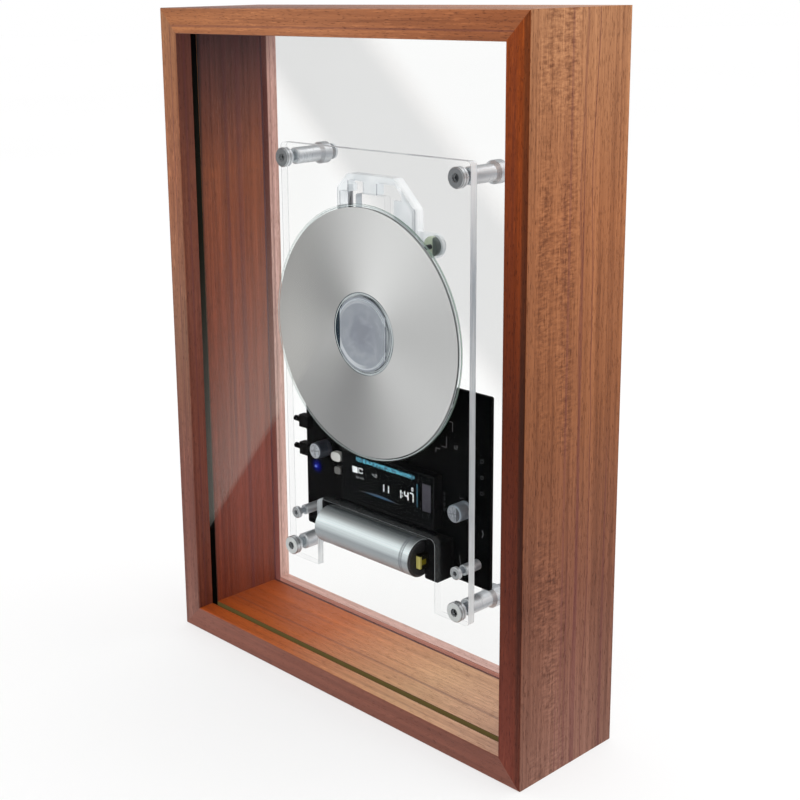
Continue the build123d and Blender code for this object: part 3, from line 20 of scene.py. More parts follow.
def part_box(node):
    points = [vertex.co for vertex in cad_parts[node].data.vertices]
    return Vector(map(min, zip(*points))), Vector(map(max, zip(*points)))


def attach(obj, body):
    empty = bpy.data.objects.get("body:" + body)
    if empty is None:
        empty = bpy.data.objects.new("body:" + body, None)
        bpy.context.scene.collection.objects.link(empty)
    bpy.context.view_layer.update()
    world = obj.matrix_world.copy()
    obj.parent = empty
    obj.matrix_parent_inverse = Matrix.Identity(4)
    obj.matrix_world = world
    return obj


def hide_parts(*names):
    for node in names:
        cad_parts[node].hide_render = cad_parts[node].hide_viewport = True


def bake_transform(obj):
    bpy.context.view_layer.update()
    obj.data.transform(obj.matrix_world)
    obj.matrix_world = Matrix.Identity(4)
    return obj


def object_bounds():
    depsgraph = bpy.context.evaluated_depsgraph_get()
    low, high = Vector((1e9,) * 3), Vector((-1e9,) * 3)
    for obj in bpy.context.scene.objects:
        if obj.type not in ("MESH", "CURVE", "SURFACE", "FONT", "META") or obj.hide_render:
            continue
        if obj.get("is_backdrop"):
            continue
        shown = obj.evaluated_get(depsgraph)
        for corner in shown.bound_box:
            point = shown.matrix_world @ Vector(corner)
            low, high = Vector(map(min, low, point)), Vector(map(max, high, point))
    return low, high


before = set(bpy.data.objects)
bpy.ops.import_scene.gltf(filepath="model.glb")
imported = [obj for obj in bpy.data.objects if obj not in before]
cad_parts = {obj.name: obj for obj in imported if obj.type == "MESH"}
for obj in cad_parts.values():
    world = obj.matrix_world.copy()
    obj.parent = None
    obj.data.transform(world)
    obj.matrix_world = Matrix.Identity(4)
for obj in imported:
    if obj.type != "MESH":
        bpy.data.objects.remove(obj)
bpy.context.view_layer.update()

MM = 0.001
scene = bpy.context.scene
scene.view_settings.view_transform = "Standard"

# %% [markdown]
# ## The camera
#
# A product picture of a deep frame is taken from one side and a little above, so that
# the front, one outer side and the inner walls all show. The camera could be aimed with
# a tracking constraint. Its matrix is worked out from three angles instead, because a
# slight roll is then one more turn.

# %% Aim the camera
CAMERA_AZIMUTH = 47.47
CAMERA_ELEVATION = 13.46
CAMERA_ROLL = -1.02
CAMERA_PLACE = Vector((455.7, -446.9, 331.9)) * MM
LENS = 64.06
LENS_SHIFT = (0.0875, -0.10)


def camera_matrix(azimuth, elevation, roll, place):
    """The camera's matrix: it stands at an azimuth from the front and looks back down."""
    azimuth, elevation, roll = (math.radians(a) for a in (azimuth, elevation, roll))
    back = Vector((math.sin(azimuth) * math.cos(elevation),
                   -math.cos(azimuth) * math.cos(elevation),
                   math.sin(elevation)))
    right = Vector((0, 0, 1)).cross(back).normalized()
    up = back.cross(right)
    tilted_right = right * math.cos(roll) + up * math.sin(roll)
    tilted_up = up * math.cos(roll) - right * math.sin(roll)
    turned = Matrix((tilted_right, tilted_up, back)).transposed().to_4x4()
    return Matrix.Translation(place) @ turned


camera_data = bpy.data.cameras.new("camera")
camera_data.sensor_width = 36
camera_data.lens = LENS
camera_data.shift_x, camera_data.shift_y = LENS_SHIFT
camera = bpy.data.objects.new("camera", camera_data)
scene.collection.objects.link(camera)
camera.matrix_world = camera_matrix(
    CAMERA_AZIMUTH, CAMERA_ELEVATION, CAMERA_ROLL, CAMERA_PLACE)
scene.camera = camera
print("camera:", [round(c, 3) for c in camera.location], "lens", LENS)

# %% [markdown]
# ## Shader maths as plain Python
#
# A procedural finish is a graph of small nodes. The nodes could be placed by hand in the
# shader editor. Small classes make them here: one wraps a socket so that + - * / add Math
# nodes, one makes any node in a single call, and one has short names for the nodes that
# finishes use most. A finish then reads like a formula.

# %% Wrap a socket so that it can be added and multiplied


class Number:
    """A socket's value. Python's operators on it add Math nodes."""

    def __init__(self, shades, socket):
        self.shades, self.socket = shades, socket

    def __add__(self, other):
        return self.shades.maths("ADD", self, other)

    def __sub__(self, other):
        return self.shades.maths("SUBTRACT", self, other)

    def __rsub__(self, other):
        return self.shades.maths("SUBTRACT", other, self)

    def __mul__(self, other):
        return self.shades.maths("MULTIPLY", self, other)

    def __truediv__(self, other):
        return self.shades.maths("DIVIDE", self, other)

    def __abs__(self):
        return self.shades.maths("ABSOLUTE", self)

    __radd__, __rmul__ = __add__, __mul__

    def between(self, low, high):
        """0 below low, 1 above high and a smooth step in between."""
        return Number(self.shades, self.shades.node(
            "ShaderNodeMapRange", {"interpolation_type": "SMOOTHSTEP"},
            {"Value": self, "From Min": low, "From Max": high}).outputs["Result"])

    def band(self, middle, half, soft):
        """1 within half of middle and 0 past soft more."""
        return 1 - abs(self - middle).between(half, half + soft)


# %% One method that makes any node


class NodeTree:
    """A node tree, with one method that makes any node."""

    def __init__(self, tree):
        self.tree = tree

    def node(self, kind, settings=None, sockets=None):
        """A node of a type: its settings first, then its sockets' values or links."""
        made = self.tree.nodes.new(kind)
        for name, value in (settings or {}).items():
            if name == "stops":
                self.set_stops(made.color_ramp, value)
            else:
                setattr(made, name, value)
        for name, value in (sockets or {}).items():
            socket = made.inputs[name]
            if isinstance(value, Number):
                value = value.socket
            if isinstance(value, bpy.types.NodeSocket):
                self.tree.links.new(value, socket)
            else:
                socket.default_value = value
        return made

    def set_stops(self, ramp, stops):
        """Gives a colour ramp its (place, colour) stops."""
        while len(ramp.elements) < len(stops):
            ramp.elements.new(1.0)
        for element, (place, colour) in zip(ramp.elements, stops):
            element.position, element.color = place, colour


# %% Short ways to make a shader's nodes


class Shades(NodeTree):
    """A shader's node tree."""

    def __init__(self, tree):
        super().__init__(tree)
        tree.nodes.clear()
        self.coordinates = None

    def maths(self, operation, *values):
        """A Math node on some values."""
        return Number(self, self.node("ShaderNodeMath", {"operation": operation},
                                      dict(enumerate(values))).outputs[0])

    def most(self, first, *others):
        """The largest of some values."""
        for other in others:
            first = self.maths("MAXIMUM", first, other)
        return first

    def reach(self, across, up):
        """The distance that two distances at a right angle make."""
        return self.maths("SQRT", across * across + up * up)

    def waves(self, value, pitch):
        """A wave from 0 to 1 that repeats whenever a value grows by pitch."""
        return self.maths("SINE", value * (2 * math.pi / pitch)) * 0.5 + 0.5

    def here(self, name="Object"):
        """The object coordinates, or another output of Texture Coordinate."""
        if self.coordinates is None:
            self.coordinates = self.node("ShaderNodeTexCoord")
        return self.coordinates.outputs[name]

    def along(self, vector=None):
        """The x, y and z of a vector as three numbers."""
        split = self.node("ShaderNodeSeparateXYZ", None, {0: vector or self.here()})
        return [Number(self, out) for out in split.outputs]

    def normal(self):
        """The x, y and z of the direction in which the surface faces."""
        return self.along(self.here("Normal"))

    def placed(self, middle=(0, 0, 0), size=(1, 1, 1)):
        """Object coordinates about a middle, in a pattern's own size."""
        return self.node("ShaderNodeMapping", {"vector_type": "TEXTURE"}, {
            "Vector": self.here(), "Location": middle, "Scale": size}).outputs[0]

    def noise(self, size, middle=(0, 0, 0), detail=3.0, rough=0.5, warp=0.0):
        """Cloudy noise whose blots are about size metres, along all axes or each."""
        if isinstance(size, float):
            size = (size, size, size)
        return Number(self, self.node(
            "ShaderNodeTexNoise", None,
            {"Vector": self.placed(middle, size), "Scale": 1.0, "Detail": detail,
             "Roughness": rough, "Distortion": warp}).outputs[0])

    def colour(self, factor, first, second, how="MIX"):
        """A colour from first to second, or to their product, as factor goes from 0 to 1."""
        return self.node("ShaderNodeMix", {"data_type": "RGBA", "blend_type": how},
                         {0: factor, 6: first, 7: second}).outputs[2]

    def over(self, base, *layers):
        """A colour with layers over it in turn, each with its share and its colour."""
        for share, colour in layers:
            base = self.colour(share, base, colour)
        return base

    def ramp(self, factor, *colours):
        """A colour from evenly spaced ones as factor goes from 0 to 1."""
        stops = [(i / (len(colours) - 1), colour) for i, colour in enumerate(colours)]
        return self.node("ShaderNodeValToRGB", {"stops": stops}, {0: factor}).outputs[0]

    def bump(self, height, depth):
        """A normal from a height map that is depth metres deep."""
        return self.node("ShaderNodeBump", None,
                         {"Height": height, "Distance": depth}).outputs[0]

    def shell(self, **settings):
        """A Principled shader from short names for its sockets."""
        names = {"base": "Base Color", "rough": "Roughness", "metal": "Metallic",
                 "coat": "Coat Weight", "coat_rough": "Coat Roughness",
                 "normal": "Normal", "specular": "Specular IOR Level",
                 "glow": "Emission Color", "glow_strength": "Emission Strength"}
        return self.node("ShaderNodeBsdfPrincipled", None,
                         {names[k]: v for k, v in settings.items()}).outputs[0]

    def mirror_share(self, straight=0.04):
        """How much a clear face mirrors: little seen straight on, all seen edge on."""
        facing = Number(self, self.node("ShaderNodeLayerWeight", None,
                                        {"Blend": 0.5}).outputs["Facing"])
        return straight + self.maths("POWER", facing, 7.0) * (1 - straight)

    def backs(self):
        """1 on faces that are seen from inside the piece."""
        return Number(self, self.node("ShaderNodeNewGeometry").outputs["Backfacing"])

    def pass_light(self, tint):
        """A shader that lets light through."""
        return self.node("ShaderNodeBsdfTransparent", None, {"Color": tint}).outputs[0]

    def gloss(self, **sockets):
        """A shader that only mirrors."""
        return self.node("ShaderNodeBsdfGlossy", None, sockets).outputs[0]

    def mixed(self, factor, first, second):
        """One shader over another."""
        return self.node("ShaderNodeMixShader", None,
                         {0: factor, 1: first, 2: second}).outputs[0]


# %% Start a finish, and give it to CAD pieces


class Finish(Shades):
    """A material with an empty node tree."""

    def __init__(self, name):
        self.material = bpy.data.materials.new(name)
        self.material.use_nodes = True
        super().__init__(self.material.node_tree)

    def done(self, shader):
        """Sends the shader to the output and returns the finished material."""
        self.node("ShaderNodeOutputMaterial", None, {"Surface": shader})
        print("finish", self.material.name, "has", len(self.tree.nodes), "nodes")
        return self.material


def paint(red, green, blue):
    """A colour from 0 to 255 a channel, as a linear colour."""
    return tuple(
        c / 12.92 if c <= 0.04045 else ((c + 0.055) / 1.055) ** 2.4
        for c in (red / 255, green / 255, blue / 255)) + (1.0,)


def paints(*colours):
    """Several colours, each from 0 to 255 a channel."""
    return [paint(*colour) for colour in colours]


def dress(material, *nodes):
    """Gives a material to CAD pieces, by their slots."""
    for node in nodes:
        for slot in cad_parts[node].material_slots:
            slot.material = material
        dressed.append(node)
        print("   ", node)


dressed = []

# %% [markdown]
# ## Floor and light
#
# A plain pale studio has a white floor, a pale surround and large soft lamps. A curved
# backdrop would hide the horizon from one side only. A wide round floor under a surround
# of the same white does it from every side, and the floor glows as a light table does, so
# that shadows on it stay faint. Chrome mirrors its surroundings, so what is mirrored has
# darker and lighter parts, as a studio with flags has.

# %% Lay the floor
FLOOR_RADIUS = 9.0
FLOOR_DROP = 0.2 * MM
floor_mesh = bpy.data.meshes.new("studio_floor")
plate = bmesh.new()
bmesh.ops.create_circle(plate, cap_ends=True, radius=FLOOR_RADIUS, segments=96)
plate.to_mesh(floor_mesh)
plate.free()
studio_floor = bpy.data.objects.new("studio_floor", floor_mesh)
studio_floor.location.z = -FLOOR_DROP
scene.collection.objects.link(studio_floor)
white = Finish("studio_white")
soft_blot = white.noise(0.9, detail=2.0)
floor_mesh.materials.append(white.done(white.shell(
    base=white.colour(soft_blot, (0.28, 0.28, 0.28, 1), (0.31, 0.31, 0.31, 1)),
    rough=0.7, specular=0.1, glow=(1, 1, 1, 1), glow_strength=0.66)))
studio_floor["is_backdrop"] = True
print("floor radius:", FLOOR_RADIUS)

# %% Surround and lamps
world = bpy.data.worlds.new("studio")
world.use_nodes = True
scene.world = world
sky = Shades(world.node_tree)
side, depth, height = sky.along(sky.here("Generated"))
rays = sky.node("ShaderNodeLightPath")
seen = Number(sky, rays.outputs["Is Camera Ray"])
glossy = Number(sky, rays.outputs["Is Glossy Ray"])
flag = (0 - depth).between(0.25, 0.75) * 0.45
ceiling = height.between(0.1, 0.7) * 0.5
mirrored = 0.66 + ceiling - flag - (0 - height).between(0.0, 0.4) * 0.12
diffuse = 0.96 + side * 0.12 + depth * 0.12 + height * 0.12
brightness = seen + (1 - seen) * (glossy * mirrored + (1 - glossy) * diffuse)
backdrop = sky.node("ShaderNodeBackground", None, {"Color": (1, 1, 1, 1),
                                                 "Strength": brightness})
sky.node("ShaderNodeOutputWorld", None, {"Surface": backdrop.outputs[0]})


def soft_lamp(name, place, size, power):
    """A large square lamp that faces the middle of the case."""
    data = bpy.data.lights.new(name, "AREA")
    data.size, data.energy = size, power
    lamp = bpy.data.objects.new(name, data)
    scene.collection.objects.link(lamp)
    lamp.location = place
    aim = Vector(LAMP_TARGET) - lamp.location
    lamp.rotation_euler = aim.to_track_quat("-Z", "Y").to_euler()


LAMP_TARGET = (0, 0, 0.16)
soft_lamp("lamp_over", (0.35, 0.6, 1.4), size=1.0, power=5.0)
soft_lamp("lamp_left", (-1.3, -0.6, 0.9), size=0.9, power=1.5)
soft_lamp("lamp_right", (1.4, 0.2, 0.9), size=0.9, power=2.5)
print("lamps:", len(bpy.data.lights))

# %% [markdown]
# ## Veneered wood
#
# The case is made of boards with a reddish ribbon-grained veneer, mitred at the corners.
# An image of wood would repeat and carries no depth. Noise that is stretched along the
# grain makes bands, streaks and pores at any size, and short blots across the grain make
# the flecks that such wood shows. Uprights and rails get the same finish with the grain
# turned.

# %% Wood finish
CASE_LOW, CASE_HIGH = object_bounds()
FIGURE_BAND = (-13 * MM, 8 * MM, 8 * MM)
# Dark lines along the outer side: depth, half width, softness and strength
SEAM_LINES = ((2.2 * MM, 0.3 * MM, 0.7 * MM, 0.4), (9.8 * MM, 0.15 * MM, 0.3 * MM, 0.6))


def wood(name, grain, seed, faces, strength=1.0, gloss=1.0):
    """Veneer whose grain runs along x (0) or z (2).

    faces holds a mask for each set of faces, and its tones from one end to the other.
    """
    f = Finish(name)
    middle = (seed * 0.37, seed * 0.21, seed * 0.13)

    def stretched(length, across, **more):
        size = [across, across, across]
        size[grain] = length
        return f.noise(size, middle, **more)

    bands = stretched(0.9, 0.03, detail=2.0, warp=0.3)
    streaks = stretched(0.2, 0.0026, detail=5.0, rough=0.66)
    fine = stretched(0.03, 0.0007, detail=3.0, rough=0.6)
    pores = stretched(0.0035, 0.00035, detail=1.0).between(0.6, 0.7)
    lines = stretched(1.4, 0.0042, detail=1.0).between(0.655, 0.675)
    patches = stretched(0.06, 0.022, detail=1.0).between(0.4, 0.6)
    flecks = stretched(0.007, 0.0006, detail=1.0).between(0.6, 0.7)
    ladder = stretched(0.0011, 0.0034, detail=2.0, rough=0.5)
    purple = stretched(0.3, 0.009, detail=2.0).between(0.55, 0.75)
    along = f.along()
    low, high = CASE_LOW[grain], CASE_HIGH[grain]
    outer = abs(along[0]).between(CASE_HIGH.x - 1 * MM, CASE_HIGH.x - 0.5 * MM)
    figured = outer * along[1].band(*FIGURE_BAND) * patches
    depth = along[1] + (stretched(0.05, 0.05, detail=1.0) - 0.5) * 0.006
    seams = outer * f.most(*(depth.band(place, half, soft) * strong
                             for place, half, soft, strong in SEAM_LINES))
    share = (along[grain] - low) / (high - low)
    tone = f.over(f.ramp(share, *SIDE_TONES_AND_SHADE),
                  *((mask(f, *along), f.ramp(share, *tones)) for mask, tones in faces))
    light = bands * 0.5 + streaks * 0.9 + fine * 0.5 - pores * 0.25 - 0.45
    light = light + flecks * patches * (1 - outer) * 0.22 + (ladder - 0.5) * figured * 1.1
    light = (light - 0.5) * strength + 0.5
    tone = f.colour(1.0, tone, f.ramp(light.between(0, 1), (0.42, 0.34, 0.32, 1),
                                      (0.98, 0.97, 0.96, 1), (1.5, 1.62, 1.66, 1)), "MULTIPLY")
    tone = f.over(tone, (lines * 0.4 + purple * 0.16, paint(96, 48, 50)),
                  (seams, paint(92, 44, 44)))
    return f.done(f.shell(
        base=tone, rough=0.42 + fine * 0.16 + pores * 0.2, specular=0.25 * gloss,
        coat=(0.04 + patches * 0.05) * gloss, coat_rough=0.25,
        normal=f.bump(fine * 0.4 + streaks * 0.3 + ladder * figured * 0.3 - pores * 0.8,
                      0.00012)))


def facing(axis, sign):
    """A mask of the faces that point along one axis."""
    def mask(f, x, y, z):
        return (f.normal()[axis] * sign).between(0.5, 0.8)
    return mask


def within(mask, axis, low, high):
    """A mask's part above a place along an axis. It fades in from low to high."""
    return lambda f, x, y, z: mask(f, x, y, z) * (x, y, z)[axis].between(low, high)


# Tones from left to right on a rail, and from the bottom to the top on a stile, where the darker lower
# tones are partly painted shade
SIDE_TONES_AND_SHADE = paints((131, 91, 77), (119, 73, 54), (136, 83, 52), (153, 96, 61), (166, 114, 79))
PANE_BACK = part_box("front_pane")[1].y
PANEL_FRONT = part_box("rear_panel")[0].y
PANEL_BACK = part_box("rear_panel")[1].y
front, inner_left, inner_floor = facing(1, -1), facing(0, 1), facing(2, 1)
# The strips of inner wall and floor behind the rear panel are painted pale, a painted light.
painted_light_behind_left = within(inner_left, 1, PANEL_BACK, PANEL_BACK + 0.3 * MM)
painted_light_behind_floor = within(inner_floor, 1, PANEL_BACK, PANEL_BACK + 0.3 * MM)
# The inner wall and floor just in front of the rear panel and in its groove get a painted shade.
groove_shade_left = within(inner_left, 1, PANEL_FRONT - 1.4 * MM, PANEL_FRONT - 0.9 * MM)
groove_shade_floor = within(inner_floor, 1, PANEL_FRONT - 1.6 * MM, PANEL_FRONT - 1.3 * MM)
front_edge = within(front, 0, CASE_HIGH.x - 3.6 * MM, CASE_HIGH.x - 2.2 * MM)


def lip_left(f, x, y, z):
    """The inner left face in front of the front pane."""
    return inner_left(f, x, y, z) * (1 - y.between(PANE_BACK - 1.2 * MM, PANE_BACK - 1 * MM))


def pane_shadow(f, x, y, z):
    """The soft dark strip just behind the front pane, wider at the top."""
    width = 1 * MM + z.between(0.2, 0.32) * 2.2 * MM
    shade = 1 - ((y - PANE_BACK) / width).between(0.0, 1.0)
    return inner_left(f, x, y, z) * shade * y.between(PANE_BACK - 0.2 * MM, PANE_BACK)


# Each set of faces gets the veneer's own tones with painted light and shade in them. The fronts are
# painted darker than the outer side, and the right stile's front is darkest. The inner left wall is
# painted darker towards the top, and its lip in front of the pane less so. The inner floor is painted
# paler towards the right, partly as a painted sheen.
case_faces = {
    "top_rail": (0, [(front, paints((165, 101, 58), (167, 103, 64), (148, 81, 41)))]),
    "bottom_rail": (0, [
        (front, paints((133, 77, 61), (128, 72, 55), (126, 71, 55))),
        (inner_floor, paints((156, 64, 12), (188, 96, 36), (214, 164, 122), (206, 160, 136))),
        (groove_shade_floor, paints((88, 34, 26), (96, 44, 38))),
        (painted_light_behind_floor, paints((208, 166, 154), (214, 174, 164)))]),
    "left_stile": (2, [
        (front, paints((131, 85, 72), (124, 68, 54), (139, 93, 70), (165, 101, 67), (173, 116, 76))),
        (inner_left, paints((126, 54, 26), (132, 65, 52), (131, 62, 39), (135, 71, 42), (66, 44, 52))),
        (lip_left, paints((100, 46, 28), (112, 56, 42), (112, 58, 42), (118, 60, 38), (98, 52, 44))),
        (pane_shadow, paints((16, 14, 16), (30, 22, 20), (12, 10, 16))),
        (groove_shade_left, paints((96, 44, 44), (88, 46, 50), (66, 36, 44))),
        (painted_light_behind_left, paints((206, 168, 156), (202, 160, 150), (196, 150, 138)))]),
    "right_stile": (2, [
        (front, paints((115, 54, 40), (92, 39, 22), (88, 32, 9), (124, 52, 13), (146, 66, 19))),
        (front_edge, paints((96, 46, 34), (70, 30, 18), (56, 24, 10), (88, 38, 12), (112, 52, 18)))])}
WOOD_LOOK = {"bottom_rail": (0.6, 1.2), "right_stile": (1.0, 0.35)}
for seed, (node, (grain, faces)) in enumerate(case_faces.items(), 1):
    strength, gloss = WOOD_LOOK.get(node, (1.0, 1.0))
    dress(wood(f"veneer_{node}", grain, seed, faces, strength, gloss), node)

# %% [markdown]
# ## Clear sheets and clear plastic
#
# A pane passes nearly all the light, mirrors a little of it and shows its tint only at
# its polished edges. True refraction shuts lamps out of the box and takes many samples.
# A transparent shader under a thin mirror keeps the box bright, and the edges get a
# shader of their own, found by the direction in which the surface faces.

# %% Clear finish
CASE_WALL = 12 * MM
OPENING_SIDE = CASE_HIGH.x - CASE_WALL
# Half width and softness of the line where an edge meets a broad face
EDGE_LINE = (0.16 * MM, 0.1 * MM)


def in_side_grooves(x):
    """1 on what is sunk in the case's side grooves."""
    return abs(x).between(OPENING_SIDE, OPENING_SIDE + 0.1 * MM)


def clear(name, node, tint, edge, cover, haze=0.0, mirror=0.002, inner=0.25, glow=0.3,
          margin=None, touch=None):
    """A clear sheet whose broad faces point along y.

    edge gives the dark and pale tones of its edges, which cover less where they are seen
    from inside, and a fine line marks where an edge meets a broad face. margin gives the
    tones of the parts that are sunk in the case's side and bottom grooves: beside and below
    they get a painted shade or a painted lit wall, with a darker painted shade line at the
    front of the bottom part. touch may change the colour and the cover in places of its own.
    glow is how strongly every covered part glows, a painted light.
    """
    f = Finish(name)
    front, back = (corner.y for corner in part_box(node))
    x, y, z = f.along()
    facing = abs(f.normal()[1])
    rim = 1 - facing.between(0.55, 0.85)
    inside = f.backs()
    wavy = f.noise((0.012, 0.0016, 0.012), detail=2.0)
    slow = f.noise((0.03, 0.03, 0.022), (0.3, 0.1, 0.2), detail=2.0, rough=0.6)
    lines = f.most(y.band(front, *EDGE_LINE), y.band(back, *EDGE_LINE)) * rim
    dark, pale = edge
    colour = f.colour(slow.between(0.35, 0.65), dark, pale)
    colour = f.colour(lines * 0.45, colour, [c * 0.45 for c in dark[:3]] + [1.0])
    covered = f.most(rim * cover * (1 - inside * (1 - inner)), lines * (1 - inside * 0.5) * 0.7)
    covered = covered * (0.85 + wavy * 0.3) + (1 - rim) * haze
    if margin:
        sides, floor, groove_shade_line = margin
        beside = in_side_grooves(x)
        below = 1 - z.between(CASE_WALL - 0.1 * MM, CASE_WALL)
        low, high = CASE_LOW.z + CASE_WALL, CASE_HIGH.z - CASE_WALL
        floor = f.colour(1 - y.between(front + 0.6 * MM, front + 1.1 * MM), floor, groove_shade_line)
        colour = f.over(colour, (below, floor),
                        (beside, f.ramp((z - low) / (high - low), *sides)))
        covered = f.most(covered, beside, below)
    if touch:
        colour, covered = touch(f, (x, y, z), colour, covered, rim, lines)
    # The covered parts glow a little, a painted light.
    body = f.shell(base=colour, rough=0.2 + wavy * 0.1, specular=0.2, glow=colour,
                   glow_strength=glow)
    through = f.pass_light(tint)
    sheet = f.mixed(covered, through, body)
    gloss = f.gloss(Roughness=0.02, Normal=f.bump(wavy * rim, 0.00001))
    return f.done(f.mixed(f.mirror_share(mirror), sheet, gloss))


# Painted reflections on the panes. A slanting line on a pane is given by its slope and by its height
# on the middle line
REFLECTION_BAND_SLOPE = -0.9
REFLECTION_BAND_STARTS, REFLECTION_BAND_ENDS = (0.186, 0.214), (0.268, 0.298)
REFLECTION_STREAK_SLOPE = 1.262
REFLECTION_STREAK_HEIGHT = 0.1872


def painted_reflection_band(f, place, colour, covered, rim, lines):
    """A slanting band of faint grey, a painted reflection of something pale across the room."""
    x, y, z = place
    height = z - x * REFLECTION_BAND_SLOPE
    band = height.between(*REFLECTION_BAND_STARTS) * (1 - height.between(*REFLECTION_BAND_ENDS)) * (1 - rim)
    band = band * (1 - in_side_grooves(x)) * z.between(CASE_WALL, CASE_WALL + 0.1 * MM)
    return f.colour(band, colour, paint(92, 94, 97)), f.most(covered, band * 0.13)


def painted_reflection_streak(f, place, colour, covered, rim, lines):
    """A faint painted reflection with one slanting edge, low on the left of the pane."""
    x, y, z = place
    height = z - x * REFLECTION_STREAK_SLOPE - REFLECTION_STREAK_HEIGHT
    share = height.between(-0.8 * MM, 0.8 * MM) * (1 - height.between(0.01, 0.17))
    share = share * (1 - x.between(-0.035, 0.0)) * z.between(CASE_WALL, CASE_WALL + 1 * MM)
    shown = share * (1 - covered.between(0.5, 0.9) * 0.88)
    return f.colour(shown, colour, paint(222, 219, 208)), f.most(covered, share * 0.048)


# Painted reflections, from the bottom to the top of the plate's right edge
PLATE_EDGE_REFLECTIONS = paints((226, 232, 234), (182, 191, 196), (184, 193, 198), (136, 150, 162),
                     (238, 244, 248))
NOTCH_SIDE, NOTCH_TOP = 41.5 * MM, 88.5 * MM
DECK_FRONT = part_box("deck_chassis")[0].y


def painted_plate_edge(f, place, colour, covered, rim, lines):
    """The right edge gets painted reflections that change with height and painted highlight streaks,
    and the notch has bright fine lines, a painted highlight.
    """
    x, y, z = place
    low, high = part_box("mounting_plate")
    right = x.between(high.x - 2 * MM, high.x - 1 * MM)
    streak = f.noise((0.001, 0.0005, 0.02), detail=2.0).between(0.3, 0.7)
    tones = f.over(f.ramp((z - low.z) / (high.z - low.z), *PLATE_EDGE_REFLECTIONS),
                   (streak * 0.25, paint(250, 252, 254)), (lines * 0.5, paint(150, 154, 160)))
    left = (1 - x.between(low.x + 1 * MM, low.x + 2 * MM)) * rim
    covered = f.most(covered, left * lines * z.between(0.05, 0.08) * 0.6)
    notch = (1 - abs(x).between(NOTCH_SIDE, NOTCH_SIDE + 1 * MM)) * rim
    notch = notch * (1 - z.between(NOTCH_TOP, NOTCH_TOP + 1 * MM))
    rear_line = notch * y.band(high.y, 0.4 * MM, 0.2 * MM)
    colour = f.over(colour, (right, tones), (left, paint(112, 114, 128)), (
        notch * 0.8, f.colour(streak, paint(190, 197, 200), paint(236, 242, 244))))
    covered = f.most(covered, notch * lines * 0.85)
    return colour, covered * (1 - rear_line * 0.85)


def deck_vents(f, place, colour, covered, rim, lines):
    """Dark fine lines where the upright walls of the deck meet its front."""
    upright = abs(f.normal()[0]).between(0.7, 0.9)
    near = 1 - place[1].between(DECK_FRONT + 0.5 * MM, DECK_FRONT + 0.8 * MM)
    mark = upright * near * 0.7
    return f.colour(mark, colour, paint(96, 102, 112)), f.most(covered, mark)


# The sunk parts of the front pane get a painted shade beside and a glowing olive tone below. Those of
# the rear panel get the painted lit wall. Both have a darker painted shade line at the front of the
# bottom part.
painted_groove_shade = paints((8, 8, 6), (12, 8, 8), (30, 28, 20), (34, 34, 28), (5, 5, 8))
painted_lit_wall = paints((150, 96, 88), (128, 84, 76), (110, 70, 66))
dress(clear("float_glass", "front_pane", (0.995, 0.998, 0.995, 1),
            paints((50, 54, 34), (70, 74, 48)), 1.0, mirror=0.0005,
            margin=(painted_groove_shade, paint(108, 94, 56), paint(76, 66, 34)),
            touch=painted_reflection_streak), "front_pane")
dress(clear("rear_acrylic", "rear_panel", (0.985, 0.985, 0.985, 1),
            paints((190, 160, 148), (210, 190, 180)), 0.6, mirror=0.001,
            margin=(painted_lit_wall, paint(206, 150, 134), paint(96, 34, 28)), touch=painted_reflection_band),
      "rear_panel")
dress(clear("plate_acrylic", "mounting_plate", (0.995, 0.995, 0.995, 1),
            paints((150, 154, 162), (214, 222, 225)), 0.92, mirror=0.001, inner=0.05,
            touch=painted_plate_edge), "mounting_plate")
# The deck glows a little more than the sheets, a painted light.
dress(clear("deck_plastic", "deck_chassis", (0.975, 0.98, 0.985, 1),
            paints((214, 220, 224), (248, 251, 253)), 0.5, haze=0.34, mirror=0.01,
            inner=0.4, glow=0.5, touch=deck_vents), "deck_chassis")

# %% [markdown]
# ## The disc
#
# A compact disc is clear polycarbonate with a thin silver layer between radii of about 20
# and 58 mm. The clear hub and the clear rim show what is behind. The silver layer holds
# fine circular tracks that pull a highlight out into two soft wedges. The wedges are
# painted faintly by angle, and fine rings in the bump break up what the metal mirrors.

# %% Disc finish
DISC_CENTRE = (0.0, -7.8 * MM, 173.6 * MM)
MIRROR_INNER, MIRROR_OUTER = 19.6 * MM, 58.4 * MM
TRACK_PITCH = 0.6 * MM
# Each ring's radius and half width
DARK_RINGS = ((19.3 * MM, 0.16 * MM), (18.3 * MM, 0.1 * MM))
PALE_RINGS = ((18.8 * MM, 0.14 * MM), (59.2 * MM, 0.1 * MM))
# The sheen's waves round the disc: how many, how high and where they start
SHEEN = ((1, 0.27, 0.84), (2, 0.04, 2.08), (3, 0.16, -2.3))


def ringed(f):
    """The radius from the disc's axis in metres, and the two distances across it."""
    x, _, z = f.along(f.placed(DISC_CENTRE))
    return f.reach(x, z), x, z


def rings(radius, places):
    """Fine rings at some radii."""
    return sum(radius.band(middle, half, 0.1 * MM) for middle, half in places)


